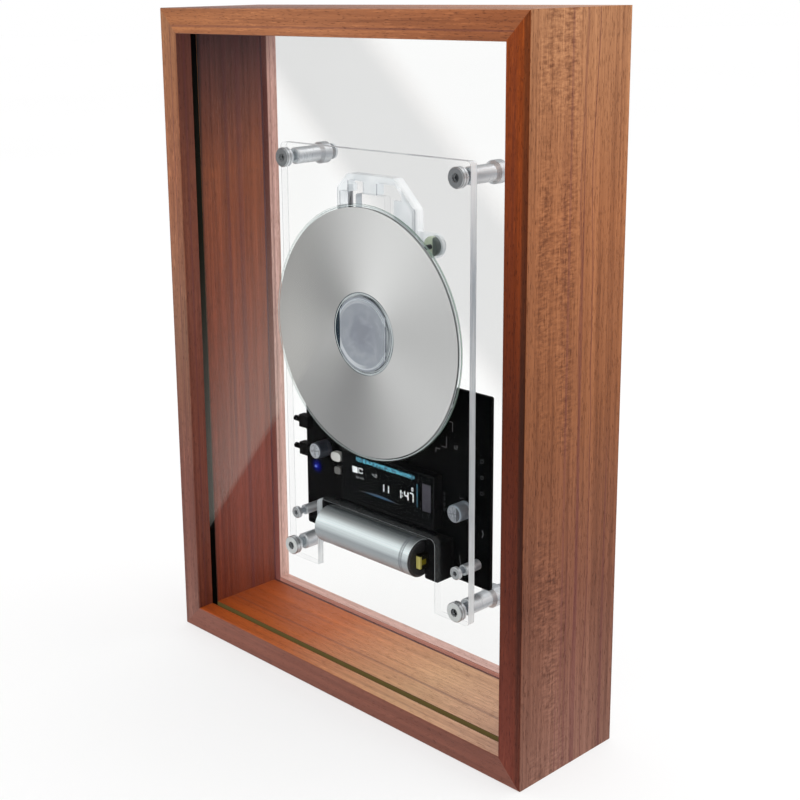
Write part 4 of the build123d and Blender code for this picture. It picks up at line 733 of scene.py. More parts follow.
f = Finish("silver_disc")
radius, x, z = ringed(f)
angle = f.maths("ARCTAN2", z, x)
wedge = 0.50
for waves, height, start in SHEEN:
    wedge = wedge + f.maths("COSINE", angle * waves - start) * height
tracks = f.waves(radius, TRACK_PITCH)
cloud = f.noise(0.02, detail=2.0)
silver = f.shell(
    base=f.colour(wedge + cloud * 0.04, paint(116, 116, 117), paint(230, 230, 230)),
    metal=1.0, rough=0.34 + cloud * 0.03, normal=f.bump(tracks, 0.000002))
clear_part = f.mixed(f.mirror_share(0.012), f.pass_light((0.96, 0.98, 0.975, 1)),
                     f.gloss(Roughness=0.03))
inside = f.backs()
facing = abs(f.normal()[1])
edge = 1 - facing.between(0.5, 0.8)
dark_rings, pale_rings = rings(radius, DARK_RINGS), rings(radius, PALE_RINGS)
shadow = (0 - x).between(13.8 * MM, 14.1 * MM) * (1 - radius.between(19.4 * MM, 19.6 * MM))
arc_place = f.node("ShaderNodeCombineXYZ", None, {0: angle * 1.3, 1: radius * 2400}).outputs[0]
arcs = Number(f, f.node("ShaderNodeTexNoise", None, {
    "Vector": arc_place, "Scale": 1.0, "Detail": 2.0}).outputs[0]).between(0.3, 0.7)
ring_zone = radius.between(15.6 * MM, 15.9 * MM) * (1 - radius.between(19.2 * MM, 19.5 * MM))
# A painted light on the hub to the right of the clamp's flat.
painted_light_side = x.between(14.3 * MM, 14.6 * MM) * (1 - radius.between(18.8 * MM, 19 * MM))
arc_tones = f.ramp(arcs, *paints((66, 72, 80), (150, 157, 162), (168, 175, 180),
                                 (232, 238, 242)))
ring_shade = f.shell(base=f.over(
    f.colour(edge, paint(120, 128, 132), paint(132, 160, 150)),
    (painted_light_side, paint(196, 202, 208)), (ring_zone, arc_tones), (shadow, paint(30, 44, 56)),
    (pale_rings.between(0, 1), paint(212, 220, 222))), rough=0.2, specular=0.15)
hub_cover = f.most(
    (dark_rings + pale_rings).between(0, 1) * 0.85, edge * (1 - inside * 0.75) * 0.6,
    shadow * 0.97, painted_light_side * 0.7, ring_zone * (0.25 + abs(arcs - 0.5) * 0.9),
    (1 - radius.between(MIRROR_INNER, MIRROR_INNER + 0.2 * MM)) * 0.35)
hub = f.mixed(hub_cover, clear_part, ring_shade)
metal_area = radius.between(MIRROR_INNER - 0.1 * MM, MIRROR_INNER) * (
    1 - radius.between(MIRROR_OUTER - 0.1 * MM, MIRROR_OUTER + 0.1 * MM))
dress(f.done(f.mixed(metal_area, hub, silver)), "compact_disc")

# %% [markdown]
# ## Clear clamp and hub plastics
#
# The clamp is a clear puck with two flats. It sits on the disc and looks grey-blue where
# the dark deck shows through. It could be left fully clear, but a moulded puck scatters
# some light, so it gets a pale haze that is stronger at its rim and along its flats. There
# it also gets a pale painted highlight, and two painted highlight arcs lie near its rim.

# %% Clamp finish
CLAMP_RING, CLAMP_FLAT, HIGHLIGHT_RADIUS = 16.3 * MM, 14.4 * MM, 15.2 * MM
f = Finish("clamp_plastic")
radius, x, z = ringed(f)
# The clamp's rim and the edges of its flats: a stronger haze and a pale painted highlight.
rim_haze_and_highlight = radius.band(CLAMP_RING, 0.3 * MM, 0.2 * MM)
rim_haze_and_highlight = rim_haze_and_highlight + abs(x).band(CLAMP_FLAT, 0.2 * MM, 0.2 * MM) * 0.8
swirl = f.noise(0.006, detail=3.0, warp=0.6)
dome = radius.between(4 * MM, 14 * MM)
angle = f.maths("ARCTAN2", z, x)


def painted_highlight_at(direction, tight, half, soft):
    """A painted highlight, a bright arc near the clamp's rim, about a direction in radians."""
    arc = f.maths("COSINE", angle - direction).between(tight, 1.0)
    return arc * radius.band(HIGHLIGHT_RADIUS, half, soft)


# Two painted highlights near the rim.
painted_highlight = f.most(painted_highlight_at(-2.2, 0.55, 0.4 * MM, 0.7 * MM), painted_highlight_at(2.0, 0.6, 0.3 * MM, 0.6 * MM) * 0.5)
tone = f.over(f.colour(dome, paint(138, 143, 156), paint(160, 166, 176)),
              (rim_haze_and_highlight.between(0, 1) * 0.8 + swirl.between(0.4, 0.8) * 0.3, paint(206, 213, 220)),
              (painted_highlight * 0.8, paint(236, 240, 246)))
body = f.shell(base=tone, rough=0.16 + swirl * 0.1, specular=0.6, coat=0.4, coat_rough=0.08,
               normal=f.bump(swirl, 0.0001))
through = f.pass_light((0.86, 0.89, 0.93, 1))
dress(f.done(f.mixed(0.8 + rim_haze_and_highlight * 0.15 - dome * 0.1, through, body)), "disc_clamp")

# %% [markdown]
# ## Metals
#
# Turned and plated pieces differ in colour, in roughness and in the marks that the tool
# left. One function makes them all: fine rings about the y axis, along which nearly every
# round piece of this player is turned, and a cloud of smudges.

# %% Metal finish
def corner_distance(f, node, reach):
    """Distance from the nearest of a node's four axes, which stand in from its box by reach."""
    low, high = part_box(node)
    middle, half = (low + high) / 2, (high - low) / 2
    x, _, z = f.along()
    u = abs(x - middle.x) - (half.x - reach)
    w = abs(z - middle.z) - (half.z - reach)
    return f.reach(u, w)


def metal(name, base, rough, marks=0.5, smudge=0.15, pitch=0.0003, metallic=1.0, ends=None,
          tones=None, glow=0.0, socket=None):
    """Turned metal with fine tool marks and smudges.

    ends gives its front ends a lower and an upper tone, a painted light and shade by height,
    the place of their face and the depth that counts as a recess, which gets a painted shade.
    tones run from its underside to its upper side, a painted light and shade. socket names a
    node of four screws and their reach, and paints shade into their sockets and grooves. glow
    makes it glow a little, a painted light.
    """
    f = Finish(name)
    _, y, z = f.along()
    tool = f.noise((0.004, pitch, 0.004), detail=2.0)
    cloud = f.noise(0.01, detail=3.0)
    _, facing, up = f.normal()
    if tones:
        sag = (f.noise((0.003, 0.02, 0.003), detail=1.0) - 0.5) * 0.16
        base = f.ramp(up * 0.5 + 0.5 + sag, *tones)
    share = metallic
    if ends:
        low_tone, high_tone, face, recess = ends
        end = (0 - facing).between(0.85, 0.95)
        sunk = y.between(face + recess * 0.5, face + recess)
        front_tone = f.colour(z.between(0.1, 0.2), low_tone, high_tone)
        base = f.colour(end, base, f.colour(sunk, front_tone, paint(60, 62, 66)))
        share = metallic * (1 - end * 0.7)
    if socket:
        hole = 1 - corner_distance(f, *socket).between(1.7 * MM, 2.2 * MM)
        grooves = f.maths("SINE", (y - face) * RING_FREQUENCY).between(0.2, 0.8)
        base = f.over(base, (end * hole * 0.85, paint(64, 68, 70)),
                      (grooves * (1 - end) * 0.6, paint(92, 98, 98)))
    dull = (0.72, 0.72, 0.73, 1)
    worn = cloud.between(0.35, 0.75) * smudge * 2 + tool * smudge
    tone = f.colour(worn, base, f.colour(1.0, base, dull, "MULTIPLY"))
    return f.done(f.shell(
        base=tone, glow=tone, glow_strength=glow,
        metal=share, rough=rough + cloud * 0.08 + tool * 0.05,
        normal=f.bump(tool, 0.00001 * marks)))


# Painted light and shade, from the underside of a barrel to its upper side
BARREL_LIGHT_AND_SHADE = paints((150, 154, 158), (212, 216, 220), (172, 178, 185), (240, 243, 246),
                      (150, 155, 160))
PLATE_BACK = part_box("mounting_plate")[1].y
SCREW_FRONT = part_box("standoff_cap_screws")[0].y
HEAD_RADIUS = 4.65 * MM
RING_FREQUENCY = 3900
SMALL_SCREW_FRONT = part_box("board_cap_screws")[0].y
# The chrome gets painted light and shade round its barrels and a faint glow, a painted light.
dress(metal("chrome", paint(204, 209, 213), 0.22, marks=0.6, metallic=0.3, tones=BARREL_LIGHT_AND_SHADE,
            glow=0.1, ends=(paint(176, 182, 186), paint(196, 202, 206), PLATE_BACK, 5 * MM)),
      "standoffs", "board_spacers")
# The washers glow a little, a painted light.
dress(metal("washer_steel", paint(206, 211, 216), 0.3, marks=0.6, metallic=0.05, glow=0.3),
      "standoff_washers")
# Lower heads are painted lighter than upper ones, a painted light and shade by height.
dress(metal("nickel_heads", paint(214, 218, 222), 0.22, marks=1.0, smudge=0.2, metallic=0.5,
            ends=(paint(206, 210, 210), paint(116, 119, 122), SCREW_FRONT, 0.8 * MM),
            socket=("standoff_cap_screws", HEAD_RADIUS)), "standoff_cap_screws")
dress(metal("small_nickel_heads", paint(206, 210, 214), 0.22, marks=1.0, smudge=0.2, metallic=0.5,
            ends=(paint(150, 154, 157), paint(150, 154, 157), SMALL_SCREW_FRONT, 0.6 * MM)),
      "board_cap_screws")
dress(metal("zinc_steel", paint(200, 204, 206), 0.3, marks=1.2, smudge=0.3), "hanger_plates",
      "hanger_screws", "board_rear_screws")
# The rear panel's screws glow a little, a painted light.
dress(metal("bright_screws", paint(200, 205, 209), 0.3, marks=1.2, smudge=0.3, metallic=0.3,
            glow=0.25), "rear_panel_screws")
dress(metal("dark_steel", paint(78, 80, 84), 0.32), "deck_screws", "motor_screws")
dress(metal("motor_steel", paint(176, 178, 182), 0.26, marks=1.5, smudge=0.25), "spindle_motor",
      "sled_motor", "spindle_shaft", "motor_shaft", "guide_rod", "gear_pin")
dress(metal("bronze", paint(184, 134, 78), 0.3, marks=1.0, smudge=0.3), "spindle_bearing")
dress(metal("magnet_nickel", paint(206, 202, 192), 0.18), "clamp_magnet")
dress(metal("socket_steel", paint(190, 192, 196), 0.28, marks=0.8, smudge=0.3),
      "charging_socket")
dress(metal("laser_can", paint(200, 170, 96), 0.2), "laser_diode")

# %% [markdown]
# ## Moulded plastics and rubber
#
# Moulded parts are satin, with a fine spark texture and slightly uneven gloss. A flat
# colour would look like a drawing, so one function adds the grain and a slow change of
# tone. Colours and grain differ from part to part.

# %% Plastic finish
def moulded(name, base, rough, grain=0.35 * MM, depth=0.03 * MM, specular=0.4, spread=0.2):
    """Moulded plastic or rubber with a spark texture."""
    f = Finish(name)
    spark = f.noise(grain, detail=2.0)
    slow = f.noise(0.012, detail=2.0)
    light = [min(1.0, c * (1 + spread) + 0.004) for c in base[:3]] + [1.0]
    dark = [c * (1 - spread) for c in base[:3]] + [1.0]
    return f.done(f.shell(
        base=f.colour(slow.between(0.3, 0.7) * 0.7 + spark * 0.3, dark, light),
        rough=rough + spark * 0.12 - slow * 0.06, specular=specular,
        normal=f.bump(spark, depth)))


dress(moulded("holder_black", paint(8, 9, 11), 0.5, specular=0.04), "battery_holder",
      "display_housing", "switch_bodies", "upper_button", "lower_button", "capacitor_bases",
      "ribbon_connector")
dress(moulded("rubber", paint(58, 60, 58), 0.68, grain=0.5 * MM, depth=0.05 * MM, specular=0.25),
      "platter_ring")
DAMPER_SPLIT = 4 * MM
DAMPER_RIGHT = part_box("rubber_dampers")[1].x
f = Finish("pale_silicone")
cloud = f.noise(0.003, detail=2.0)
x, y, _ = f.along()
dark_half = f.most(y.between(DAMPER_SPLIT - 0.1 * MM, DAMPER_SPLIT + 0.1 * MM),
                   x.between(DAMPER_RIGHT - 3.6 * MM, DAMPER_RIGHT - 2.8 * MM))
tone = f.colour(dark_half, f.colour(cloud, paint(196, 210, 186), paint(222, 230, 212)),
                paint(82, 92, 90))
# The silicone glows a little, a painted light.
body = f.shell(base=tone, rough=0.4, glow=tone, glow_strength=0.2)
through = f.pass_light((0.9, 0.95, 0.88, 1))
dress(f.done(f.mixed(0.6 + cloud * 0.2 + dark_half * 0.2, through, body)), "rubber_dampers")
dress(moulded("sled_black", paint(34, 34, 37), 0.5), "pickup_sled", "lens_cover")
dress(moulded("acetal", paint(236, 234, 224), 0.34, spread=0.06), "drive_gear", "sled_rack",
      "motor_pinion")
dress(moulded("platter_grey", paint(120, 126, 134), 0.36, spread=0.12), "turntable")
dress(moulded("ceramic_white", paint(226, 226, 222), 0.3, spread=0.08), "quartz_crystal")
dress(moulded("ferrite", paint(112, 112, 110), 0.5, grain=0.6 * MM, depth=0.06 * MM),
      "small_inductor")
dress(moulded("chip_epoxy", paint(30, 30, 31), 0.45), "servo_chip", "power_chip")

# %% [markdown]
# ## Circuit boards
#
# A board is glass fibre under a lacquer. Its copper tracks lift the lacquer slightly and
# show as faint lines. The tracks could be modelled one by one. A blocky pattern that bends
# at right angles does it in the finish, and only the printed marks are real pieces.

# %% Board finish
LAMP_SPILL = 5.2 * MM


def board(name, lacquer, copper, fibre, lamp=None):
    """Lacquered board with faint raised tracks and a fibre edge, with a painted pool of blue light
    round a lamp.
    """
    f = Finish(name)
    x, _, z = f.along()
    vector = f.node("ShaderNodeCombineXYZ", None, {0: x, 1: z}).outputs[0]
    wide = Number(f, f.node("ShaderNodeTexBrick", {"offset": 0.37, "squash": 1.6}, {
        "Vector": vector, "Scale": 180.0, "Mortar Size": 0.035, "Mortar Smooth": 0.4,
        "Brick Width": 1.9, "Row Height": 0.55}).outputs["Fac"])
    areas = f.noise(0.016, detail=1.0).between(0.48, 0.56)
    weave = f.noise(0.0008, detail=2.0)
    tracks = wide * areas
    facing = abs(f.normal()[1])
    edge = 1 - facing.between(0.5, 0.8)
    top = f.colour(tracks * 0.55 + areas * 0.1, lacquer, copper)
    spill = {}
    # A painted pool of blue light round the lamp, on the board's front.
    if lamp:
        u, _, w = f.along(f.placed(lamp))
        near = 1 - f.reach(u, w).between(0.0, LAMP_SPILL)
        near = near * (0 - f.normal()[1]).between(0.5, 0.8)
        spill = {"glow": f.colour(near * near, (0, 0, 0, 1), (0.008, 0.016, 0.42, 1)),
                 "glow_strength": 0.55}
    return f.done(f.shell(
        base=f.colour(edge, top, fibre), rough=0.45 + weave * 0.1 + edge * 0.3, specular=0.02,
        normal=f.bump(tracks * 0.3, 0.00002), **spill))


led_middle = sum(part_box("status_led"), Vector()) / 2
dress(board("board_black", paint(2, 3, 4), paint(10, 12, 14), paint(18, 17, 16),
            lamp=led_middle), "circuit_board")
dress(board("board_green", paint(24, 66, 44), paint(60, 110, 70), paint(120, 116, 80)),
      "pickup_board", "radio_module")

# %% [markdown]
# ## The cell
#
# A round cell wears a shrunk sleeve, here plain silver. The sleeve is tight in the middle,
# folds over at the ends and leaves a dark end ring. All that follows the cell's length, so
# the finish reads x. Lettering is left off.

# %% Cell finish
# Painted light and shade, from the underside of the cell to its upper side
CELL_LIGHT_AND_SHADE = paints((60, 62, 64), (154, 160, 164), (130, 136, 140), (234, 244, 246), (60, 64, 66))
CELL_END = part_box("battery_cell")[1].x
CAP_LENGTH = 1.6 * MM
# How far in from the end two grooves are, with half width and softness
CELL_GROOVES = ((6.8 * MM, 0.4 * MM, 0.3 * MM), (5.6 * MM, 0.3 * MM, 0.3 * MM))
f = Finish("silver_sleeve")
x, _, _ = f.along()
folds = f.noise((0.0012, 0.02, 0.02), detail=3.0, rough=0.6)
brushed = f.noise((0.05, 0.0006, 0.0006), detail=2.0)
lines = sum(x.band(CELL_END - place, half, soft) for place, half, soft in CELL_GROOVES)
cap = x.between(CELL_END - CAP_LENGTH, CELL_END - CAP_LENGTH + 0.3 * MM)
base = f.over(f.ramp(f.normal()[2] * 0.5 + 0.5, *CELL_LIGHT_AND_SHADE),
              (brushed.between(0.3, 0.7) * 0.2, paint(150, 156, 158)),
              (lines.between(0, 1) * 0.6, paint(96, 100, 106)), (cap, paint(44, 44, 46)))
# Outside the cap the sleeve glows a little, a painted light.
dress(f.done(f.shell(
    base=base, metal=0.4 - cap * 0.2, rough=0.34 + brushed * 0.08 + cap * 0.2,
    glow=f.colour(cap, base, (0, 0, 0, 1)), glow_strength=0.25,
    normal=f.bump(folds * 0.3 + brushed * 0.1 - lines, 0.00003))), "battery_cell")

# %% [markdown]
# ## The cell's contacts
#
# The contacts are folded brass. They are bare where they touch the cell and blackened
# elsewhere. Black tape over the brass would read the same, but the contacts share one
# node, so masks along its depth and height keep it to one finish.

# %% Contact finish
# Each bare part's depth and half height, where its fade starts
STRIP_DEPTH, STRIP_HALF = 0.8 * MM, 2.9 * MM
TONGUE_DEPTH, TONGUE_HALF = 3.6 * MM, 1.1 * MM
contact_low, contact_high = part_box("battery_contacts")
f = Finish("spring_brass")
_, y, z = f.along()
depth = y - contact_low.y
off_middle = abs(z - (contact_low.z + contact_high.z) / 2)
strip = 1 - depth.between(STRIP_DEPTH, STRIP_DEPTH + 0.6 * MM)
strip = strip * (1 - off_middle.between(STRIP_HALF, STRIP_HALF + 0.3 * MM))
tongue = 1 - depth.between(TONGUE_DEPTH, TONGUE_DEPTH + 0.6 * MM)
tongue = tongue * (1 - off_middle.between(TONGUE_HALF, TONGUE_HALF + 0.4 * MM))
bare = f.most(strip, tongue)
brass = f.colour(strip, paint(132, 120, 26), paint(206, 196, 116))
dress(f.done(f.shell(base=f.colour(bare, paint(20, 18, 14), brass), metal=bare * 0.3,
                     rough=0.32, specular=0.1)), "battery_contacts")

# %% [markdown]
# ## Capacitors
#
# An aluminium can has a bare top with a scored cross that lets it vent, and a dark sector
# that marks one lead. The left can has a dark blue-grey sleeve and the right one is bare.
# Both finishes come from one set of masks, measured from each can's axis.

# %% Capacitor finish
cans_low, cans_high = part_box("capacitor_cans")
CAN_RADIUS = 4.2 * MM
BARE_RADIUS = 3.1 * MM
SECTOR_START = 1.4 * MM
left_can = (cans_low.x + CAN_RADIUS, 0, cans_high.z - CAN_RADIUS)
right_can = (cans_high.x - CAN_RADIUS, 0, cans_low.z + CAN_RADIUS)
f = Finish("capacitor_can")
is_left = 1 - f.along()[0].between(-1 * MM, 1 * MM)


def can_face(middle):
    """Score marks and the dark sector of one can, about its axis."""
    u, _, w = f.along(f.placed(middle))
    cross = abs(u + w * 0.2).between(0.0001, 0.0003) * abs(w - u * 0.2).between(0.0001, 0.0003)
    inner = 1 - f.reach(u, w).between(BARE_RADIUS, BARE_RADIUS + 0.2 * MM)
    vents = f.noise((0.0009, 0.0009, 0.0014), detail=1.0).between(0.5, 0.56)
    return (f.most(1 - cross, vents * 0.6) * inner,
            u.between(SECTOR_START, SECTOR_START + 0.2 * MM))


left_score, _ = can_face(left_can)
right_score, right_sector = can_face(right_can)
top_face = (0 - f.normal()[1]).between(0.7, 0.9)
score = left_score * is_left + right_score * (1 - is_left)
sector = right_sector * (1 - is_left)
brushed = f.noise((0.004, 0.0002, 0.004), detail=2.0)
sleeve = f.colour(is_left, paint(160, 174, 186), paint(58, 63, 76))
top = f.over(f.colour(is_left, paint(150, 155, 162), paint(190, 195, 202)),
             (score * 0.75, paint(84, 88, 96)), (sector * 0.85, paint(46, 48, 56)))
dress(f.done(f.shell(
    base=f.colour(top_face, sleeve, top), metal=0.35 + is_left * top_face * 0.3,
    rough=0.3 + brushed * 0.12,
    normal=f.bump(brushed * 0.2 - score * top_face, 0.00012))), "capacitor_cans")

# %% [markdown]
# ## Light, lens and display glass
#
# The status light glows blue through a milky lens. The pickup's lens is coated glass with
# a faint blue-green bloom. The display is a black glass over a housing. Each is small, but
# they are the brightest and darkest points of the player.

# %% Light, lens and display glass
f = Finish("blue_light")
glow_noise = f.noise(0.0006, detail=1.0)
u, _, w = f.along(f.placed(led_middle))
core = 1 - f.reach(u, w).between(0.0, 0.6 * MM)
dress(f.done(f.shell(
    base=paint(16, 18, 90), rough=0.3,
    glow=f.colour(core * (0.8 + glow_noise * 0.2), (0.002, 0.003, 0.13, 1), (0.3, 0.5, 1.0, 1)),
    glow_strength=1.6)), "status_led")

f = Finish("coated_lens")
bloom = f.noise(0.003, detail=1.0)
dress(f.done(f.shell(base=f.colour(bloom, paint(22, 34, 78), paint(30, 74, 82)),
                     rough=0.05 + bloom * 0.04, specular=0.8, coat=0.9, coat_rough=0.02)),
      "objective_lens")

f = Finish("display_glass")
dust = f.noise(0.0007, detail=2.0)
depth_tint = f.noise(0.02, detail=1.0)
dress(f.done(f.shell(
    base=f.colour(depth_tint, paint(2, 3, 4), paint(5, 7, 9)),
    rough=0.12 + dust.between(0.6, 0.9) * 0.2, specular=0.02)), "display_glass")

# %% [markdown]
# ## What the display shows
#
# The display lights a bar of fine segments, a track number, a time and a few plain
# signs. Text objects would need a font, and its outlines are heavy. Each digit is built
# from the strokes of a seven-segment figure instead. Geometry Nodes repeat one segment
# along the bar, with a height of its own for each.

# %% Emission finishes
def lit(name, low, high):
    """A light-emitting finish that flickers a little from place to place."""
    f = Finish(name)
    flicker = f.noise(0.0012, detail=1.0)
    return f.done(f.shell(base=(0.01, 0.01, 0.01, 1), rough=0.3,
                          glow=f.colour(flicker.between(0.35, 0.65), low, high),
                          glow_strength=1.0))


cyan_light = lit("cyan_light", paint(14, 70, 92), paint(78, 170, 194))
white_light = lit("white_light", paint(206, 212, 216), paint(244, 248, 250))
grey_light = lit("grey_light", paint(118, 120, 124), paint(160, 162, 166))

# %% Flat signs cut from thin sheet
DISPLAY_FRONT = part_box("display_glass")[0].y
SIGN_THICKNESS = 0.12 * MM
SIGN_GAP = 0.02 * MM


def add_piece(name, mesh):
    """Puts a piece in the scene and lets it ride on the cabinet."""
    piece = bpy.data.objects.new(name, mesh)
    scene.collection.objects.link(piece)
    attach(piece, "cabinet")
    print(name, len(mesh.polygons), "faces")


def block(left, low, right, high):
    """A rectangle's outline."""
    return [(left, low), (right, low), (right, high), (left, high)]


def flat_piece(name, outlines, front, material, thickness=SIGN_THICKNESS):
    """Thin plates from outlines of (x, z) in mm, just in front of a face."""
    mesh = bpy.data.meshes.new(name)
    plates = bmesh.new()
    for outline in outlines:
        near = [plates.verts.new((x * MM, front - thickness, z * MM)) for x, z in outline]
        far = [plates.verts.new((x * MM, front, z * MM)) for x, z in outline]
        plates.faces.new(near)
        plates.faces.new(far[::-1])
        for i in range(len(outline)):
            j = (i + 1) % len(outline)
            plates.faces.new((near[i], far[i], far[j], near[j]))
    bmesh.ops.recalc_face_normals(plates, faces=plates.faces)
    plates.to_mesh(mesh)
    plates.free()
    mesh.materials.append(material)
    add_piece(name, mesh)


def stroke(x0, z0, x1, z1, width):
    """A bar from one point to another, with pointed ends."""
    along = Vector((x1 - x0, z1 - z0))
    along.normalize()
    across = Vector((-along.y, along.x)) * width / 2
    tip = width / 2
    start, end = Vector((x0, z0)), Vector((x1, z1))
    return [tuple(p) for p in (start, start + along * tip + across, end - along * tip + across,
                               end, end - along * tip - across, start + along * tip - across)]


def strokes(pen, *lines):
    """Bars of one width, each from one (x, z) to another."""
    return [stroke(*line, pen) for line in lines]


SEGMENTS = {"a": (0, 2, 1, 2), "b": (1, 2, 1, 1), "c": (1, 1, 1, 0), "d": (0, 0, 1, 0),
            "e": (0, 1, 0, 0), "f": (0, 2, 0, 1), "g": (0, 1, 1, 1)}
FIGURES = {"0": "abcdef", "1": "bc", "2": "abged", "4": "fgbc", "7": "abc"}


def figures(text, x, z, width, height, pen, step):
    """The strokes of a row of figures, from the left."""
    row = []
    for letter in text:
        if letter == ":":
            row += [stroke(x, z + height * k, x, z + height * k + pen, pen) for k in (0.25, 0.62)]
            x += step * 0.42
            continue
        for name in FIGURES[letter]:
            x0, z0, x1, z1 = SEGMENTS[name]
            row.append(stroke(x + x0 * width, z + z0 * height / 2,
                              x + x1 * width, z + z1 * height / 2, pen))
        x += step
    return row


face = DISPLAY_FRONT - SIGN_GAP
flat_piece("display_figures",
           figures("11", -2.2, 93.6, width=1.6, height=3.8, pen=0.62, step=3.2)
           + figures("1:47", 8.6, 93.4, width=2.2, height=4.2, pen=0.62, step=3.3)
           + figures("0", 17.9, 98.9, width=0.8, height=1.5, pen=0.32, step=1.2),
           face, white_light)
flat_piece("display_signs",
           [block(-22.2, 98.5, -18.6, 101.5)]
           + strokes(0.4, (-17.9, 101.4, -15.1, 101.4), (-17.7, 101.6, -17.7, 98.9),
                     (-17.9, 99.1, -15.1, 99.1), (-15.3, 101.6, -15.3, 100.6),
                     (-15.3, 99.9, -15.3, 98.9)), face, white_light)
flat_piece("display_small_signs",
           figures("42", -8.4, 99.5, width=1.1, height=1.5, pen=0.3, step=1.9)
           + [stroke(-19.3 + k, 96.0, -19.3 + k + 0.2, 97.1, 0.32) for k in (0, 1.3, 2.7, 4.4)]
           + strokes(0.3, (-19.3, 96.1, -18.2, 96.1), (-16.4, 96.6, -15.2, 96.6)),
           face, grey_light)
flat_piece("display_cursor", [block(21.2, 91.8, 21.55, 103.0)],
           face, lit("deep_blue_light", paint(10, 60, 84), paint(26, 110, 140)))

# %% A glowing arc of light
ARC_LEFT, ARC_RIGHT, ARC_LOW, ARC_RISE = -18.0, 10.0, 89.9, 1.1
ARC_STEPS = 24
arc_points = []
for k in range(ARC_STEPS + 1):
    share = k / ARC_STEPS
    arc_points.append((ARC_LEFT + (ARC_RIGHT - ARC_LEFT) * share,
                       ARC_LOW + ARC_RISE * math.sin(math.pi * share) ** 1.6))
f = Finish("arc_light")
x, _, z = f.along()
glow = x.between(-17 * MM, -2 * MM) * (1 - x.between(-2 * MM, 9 * MM))
glow = glow * (1 - z.between(ARC_LOW * MM, (ARC_LOW + ARC_RISE) * MM) * 0.8)
speck = f.noise(0.001, detail=1.0)
arc_light = f.done(f.shell(
    base=(0.005, 0.006, 0.008, 1), rough=0.3, glow_strength=1.0,
    glow=f.colour(glow * (0.75 + speck * 0.5), (0.002, 0.003, 0.005, 1), paint(22, 88, 130))))
flat_piece("display_arc", [arc_points + [(ARC_RIGHT, ARC_LOW - 0.05), (ARC_LEFT, ARC_LOW - 0.05)]],
           face, arc_light)

# %% Geometry Nodes helper


class Steps(NodeTree):
    """A geometry node tree."""

    def __init__(self, name):
        super().__init__(bpy.data.node_groups.new(name, "GeometryNodeTree"))
        self.tree.interface.new_socket(
            "Geometry", in_out="OUTPUT", socket_type="NodeSocketGeometry")
        self.inside = self.tree.nodes.new("NodeGroupInput")

    def given(self, name, kind, value):
        """A named input of the tree, with its first value."""
        self.tree.interface.new_socket(name, in_out="INPUT", socket_type=kind).default_value = value
        return self.inside.outputs[name]

    def finish(self, geometry, material):
        """Ends the tree with real geometry in one material."""
        real = self.node("GeometryNodeRealizeInstances", None, {0: geometry})
        skin = self.node("GeometryNodeSetMaterial", None, {"Geometry": real.outputs[0],
                                                          "Material": material})
        self.node("NodeGroupOutput", None, {0: skin.outputs[0]})
        return self.tree


def grown(name, tree, settings):
    """Runs a tree and keeps its result as a plain mesh."""
    host = bpy.data.objects.new(name + "_host", bpy.data.meshes.new(name + "_host"))
    scene.collection.objects.link(host)
    modifier = host.modifiers.new("steps", "NODES")
    modifier.node_group = tree
    for item in tree.interface.items_tree:
        if item.in_out == "INPUT" and item.name in settings:
            modifier[item.identifier] = settings[item.name]
    bpy.context.view_layer.update()
    evaluated = host.evaluated_get(bpy.context.evaluated_depsgraph_get())
    mesh = bpy.data.meshes.new_from_object(evaluated)
    mesh.name = name
    bpy.data.objects.remove(host)
    add_piece(name, mesh)


# %% The bar of segments
def bar_tree(material):
    """A row of thin upright segments, each with a height of its own."""
    s = Steps("bar_of_segments")
    count = s.given("Count", "NodeSocketInt", 40)
    start = s.given("Start", "NodeSocketVector", (0, 0, 0))
    pitch = s.given("Pitch", "NodeSocketFloat", 0.001)
    width = s.given("Width", "NodeSocketFloat", 0.0006)
    height = s.given("Height", "NodeSocketFloat", 0.002)
    offset = s.node("ShaderNodeCombineXYZ", None, {0: pitch})
    row = s.node("GeometryNodeMeshLine", None, {"Count": count, "Start Location": start,
                                                "Offset": offset.outputs[0]})
    size = s.node("ShaderNodeCombineXYZ", None, {0: width, 1: SIGN_THICKNESS, 2: height})
    block = s.node("GeometryNodeMeshCube", None, {"Size": size.outputs[0]})
    change = s.node("FunctionNodeRandomValue", {"data_type": "FLOAT"},
                    {2: 0.55, 3: 1.0, "Seed": 4})
    scale = s.node("ShaderNodeCombineXYZ", None, {0: 1.0, 1: 1.0, 2: change.outputs[1]})
    placed = s.node("GeometryNodeInstanceOnPoints", None, {
        "Points": row.outputs[0], "Instance": block.outputs[0], "Scale": scale.outputs[0]})
    return s.finish(placed.outputs[0], material)


grown("display_bar", bar_tree(cyan_light), {
    "Count": 56, "Start": (-19.2 * MM, face - SIGN_THICKNESS / 2, 105.7 * MM),
    "Pitch": 0.7 * MM, "Width": 0.56 * MM, "Height": 2.6 * MM})

# %% [markdown]
# ## Marks and small parts on the board
#
# Beside the display the board carries a patch of dark foil, a row of test pads and thin
# printed outlines. They are so flat that a texture could do. They are real thin pieces,
# so that they keep their place in an exported mesh.

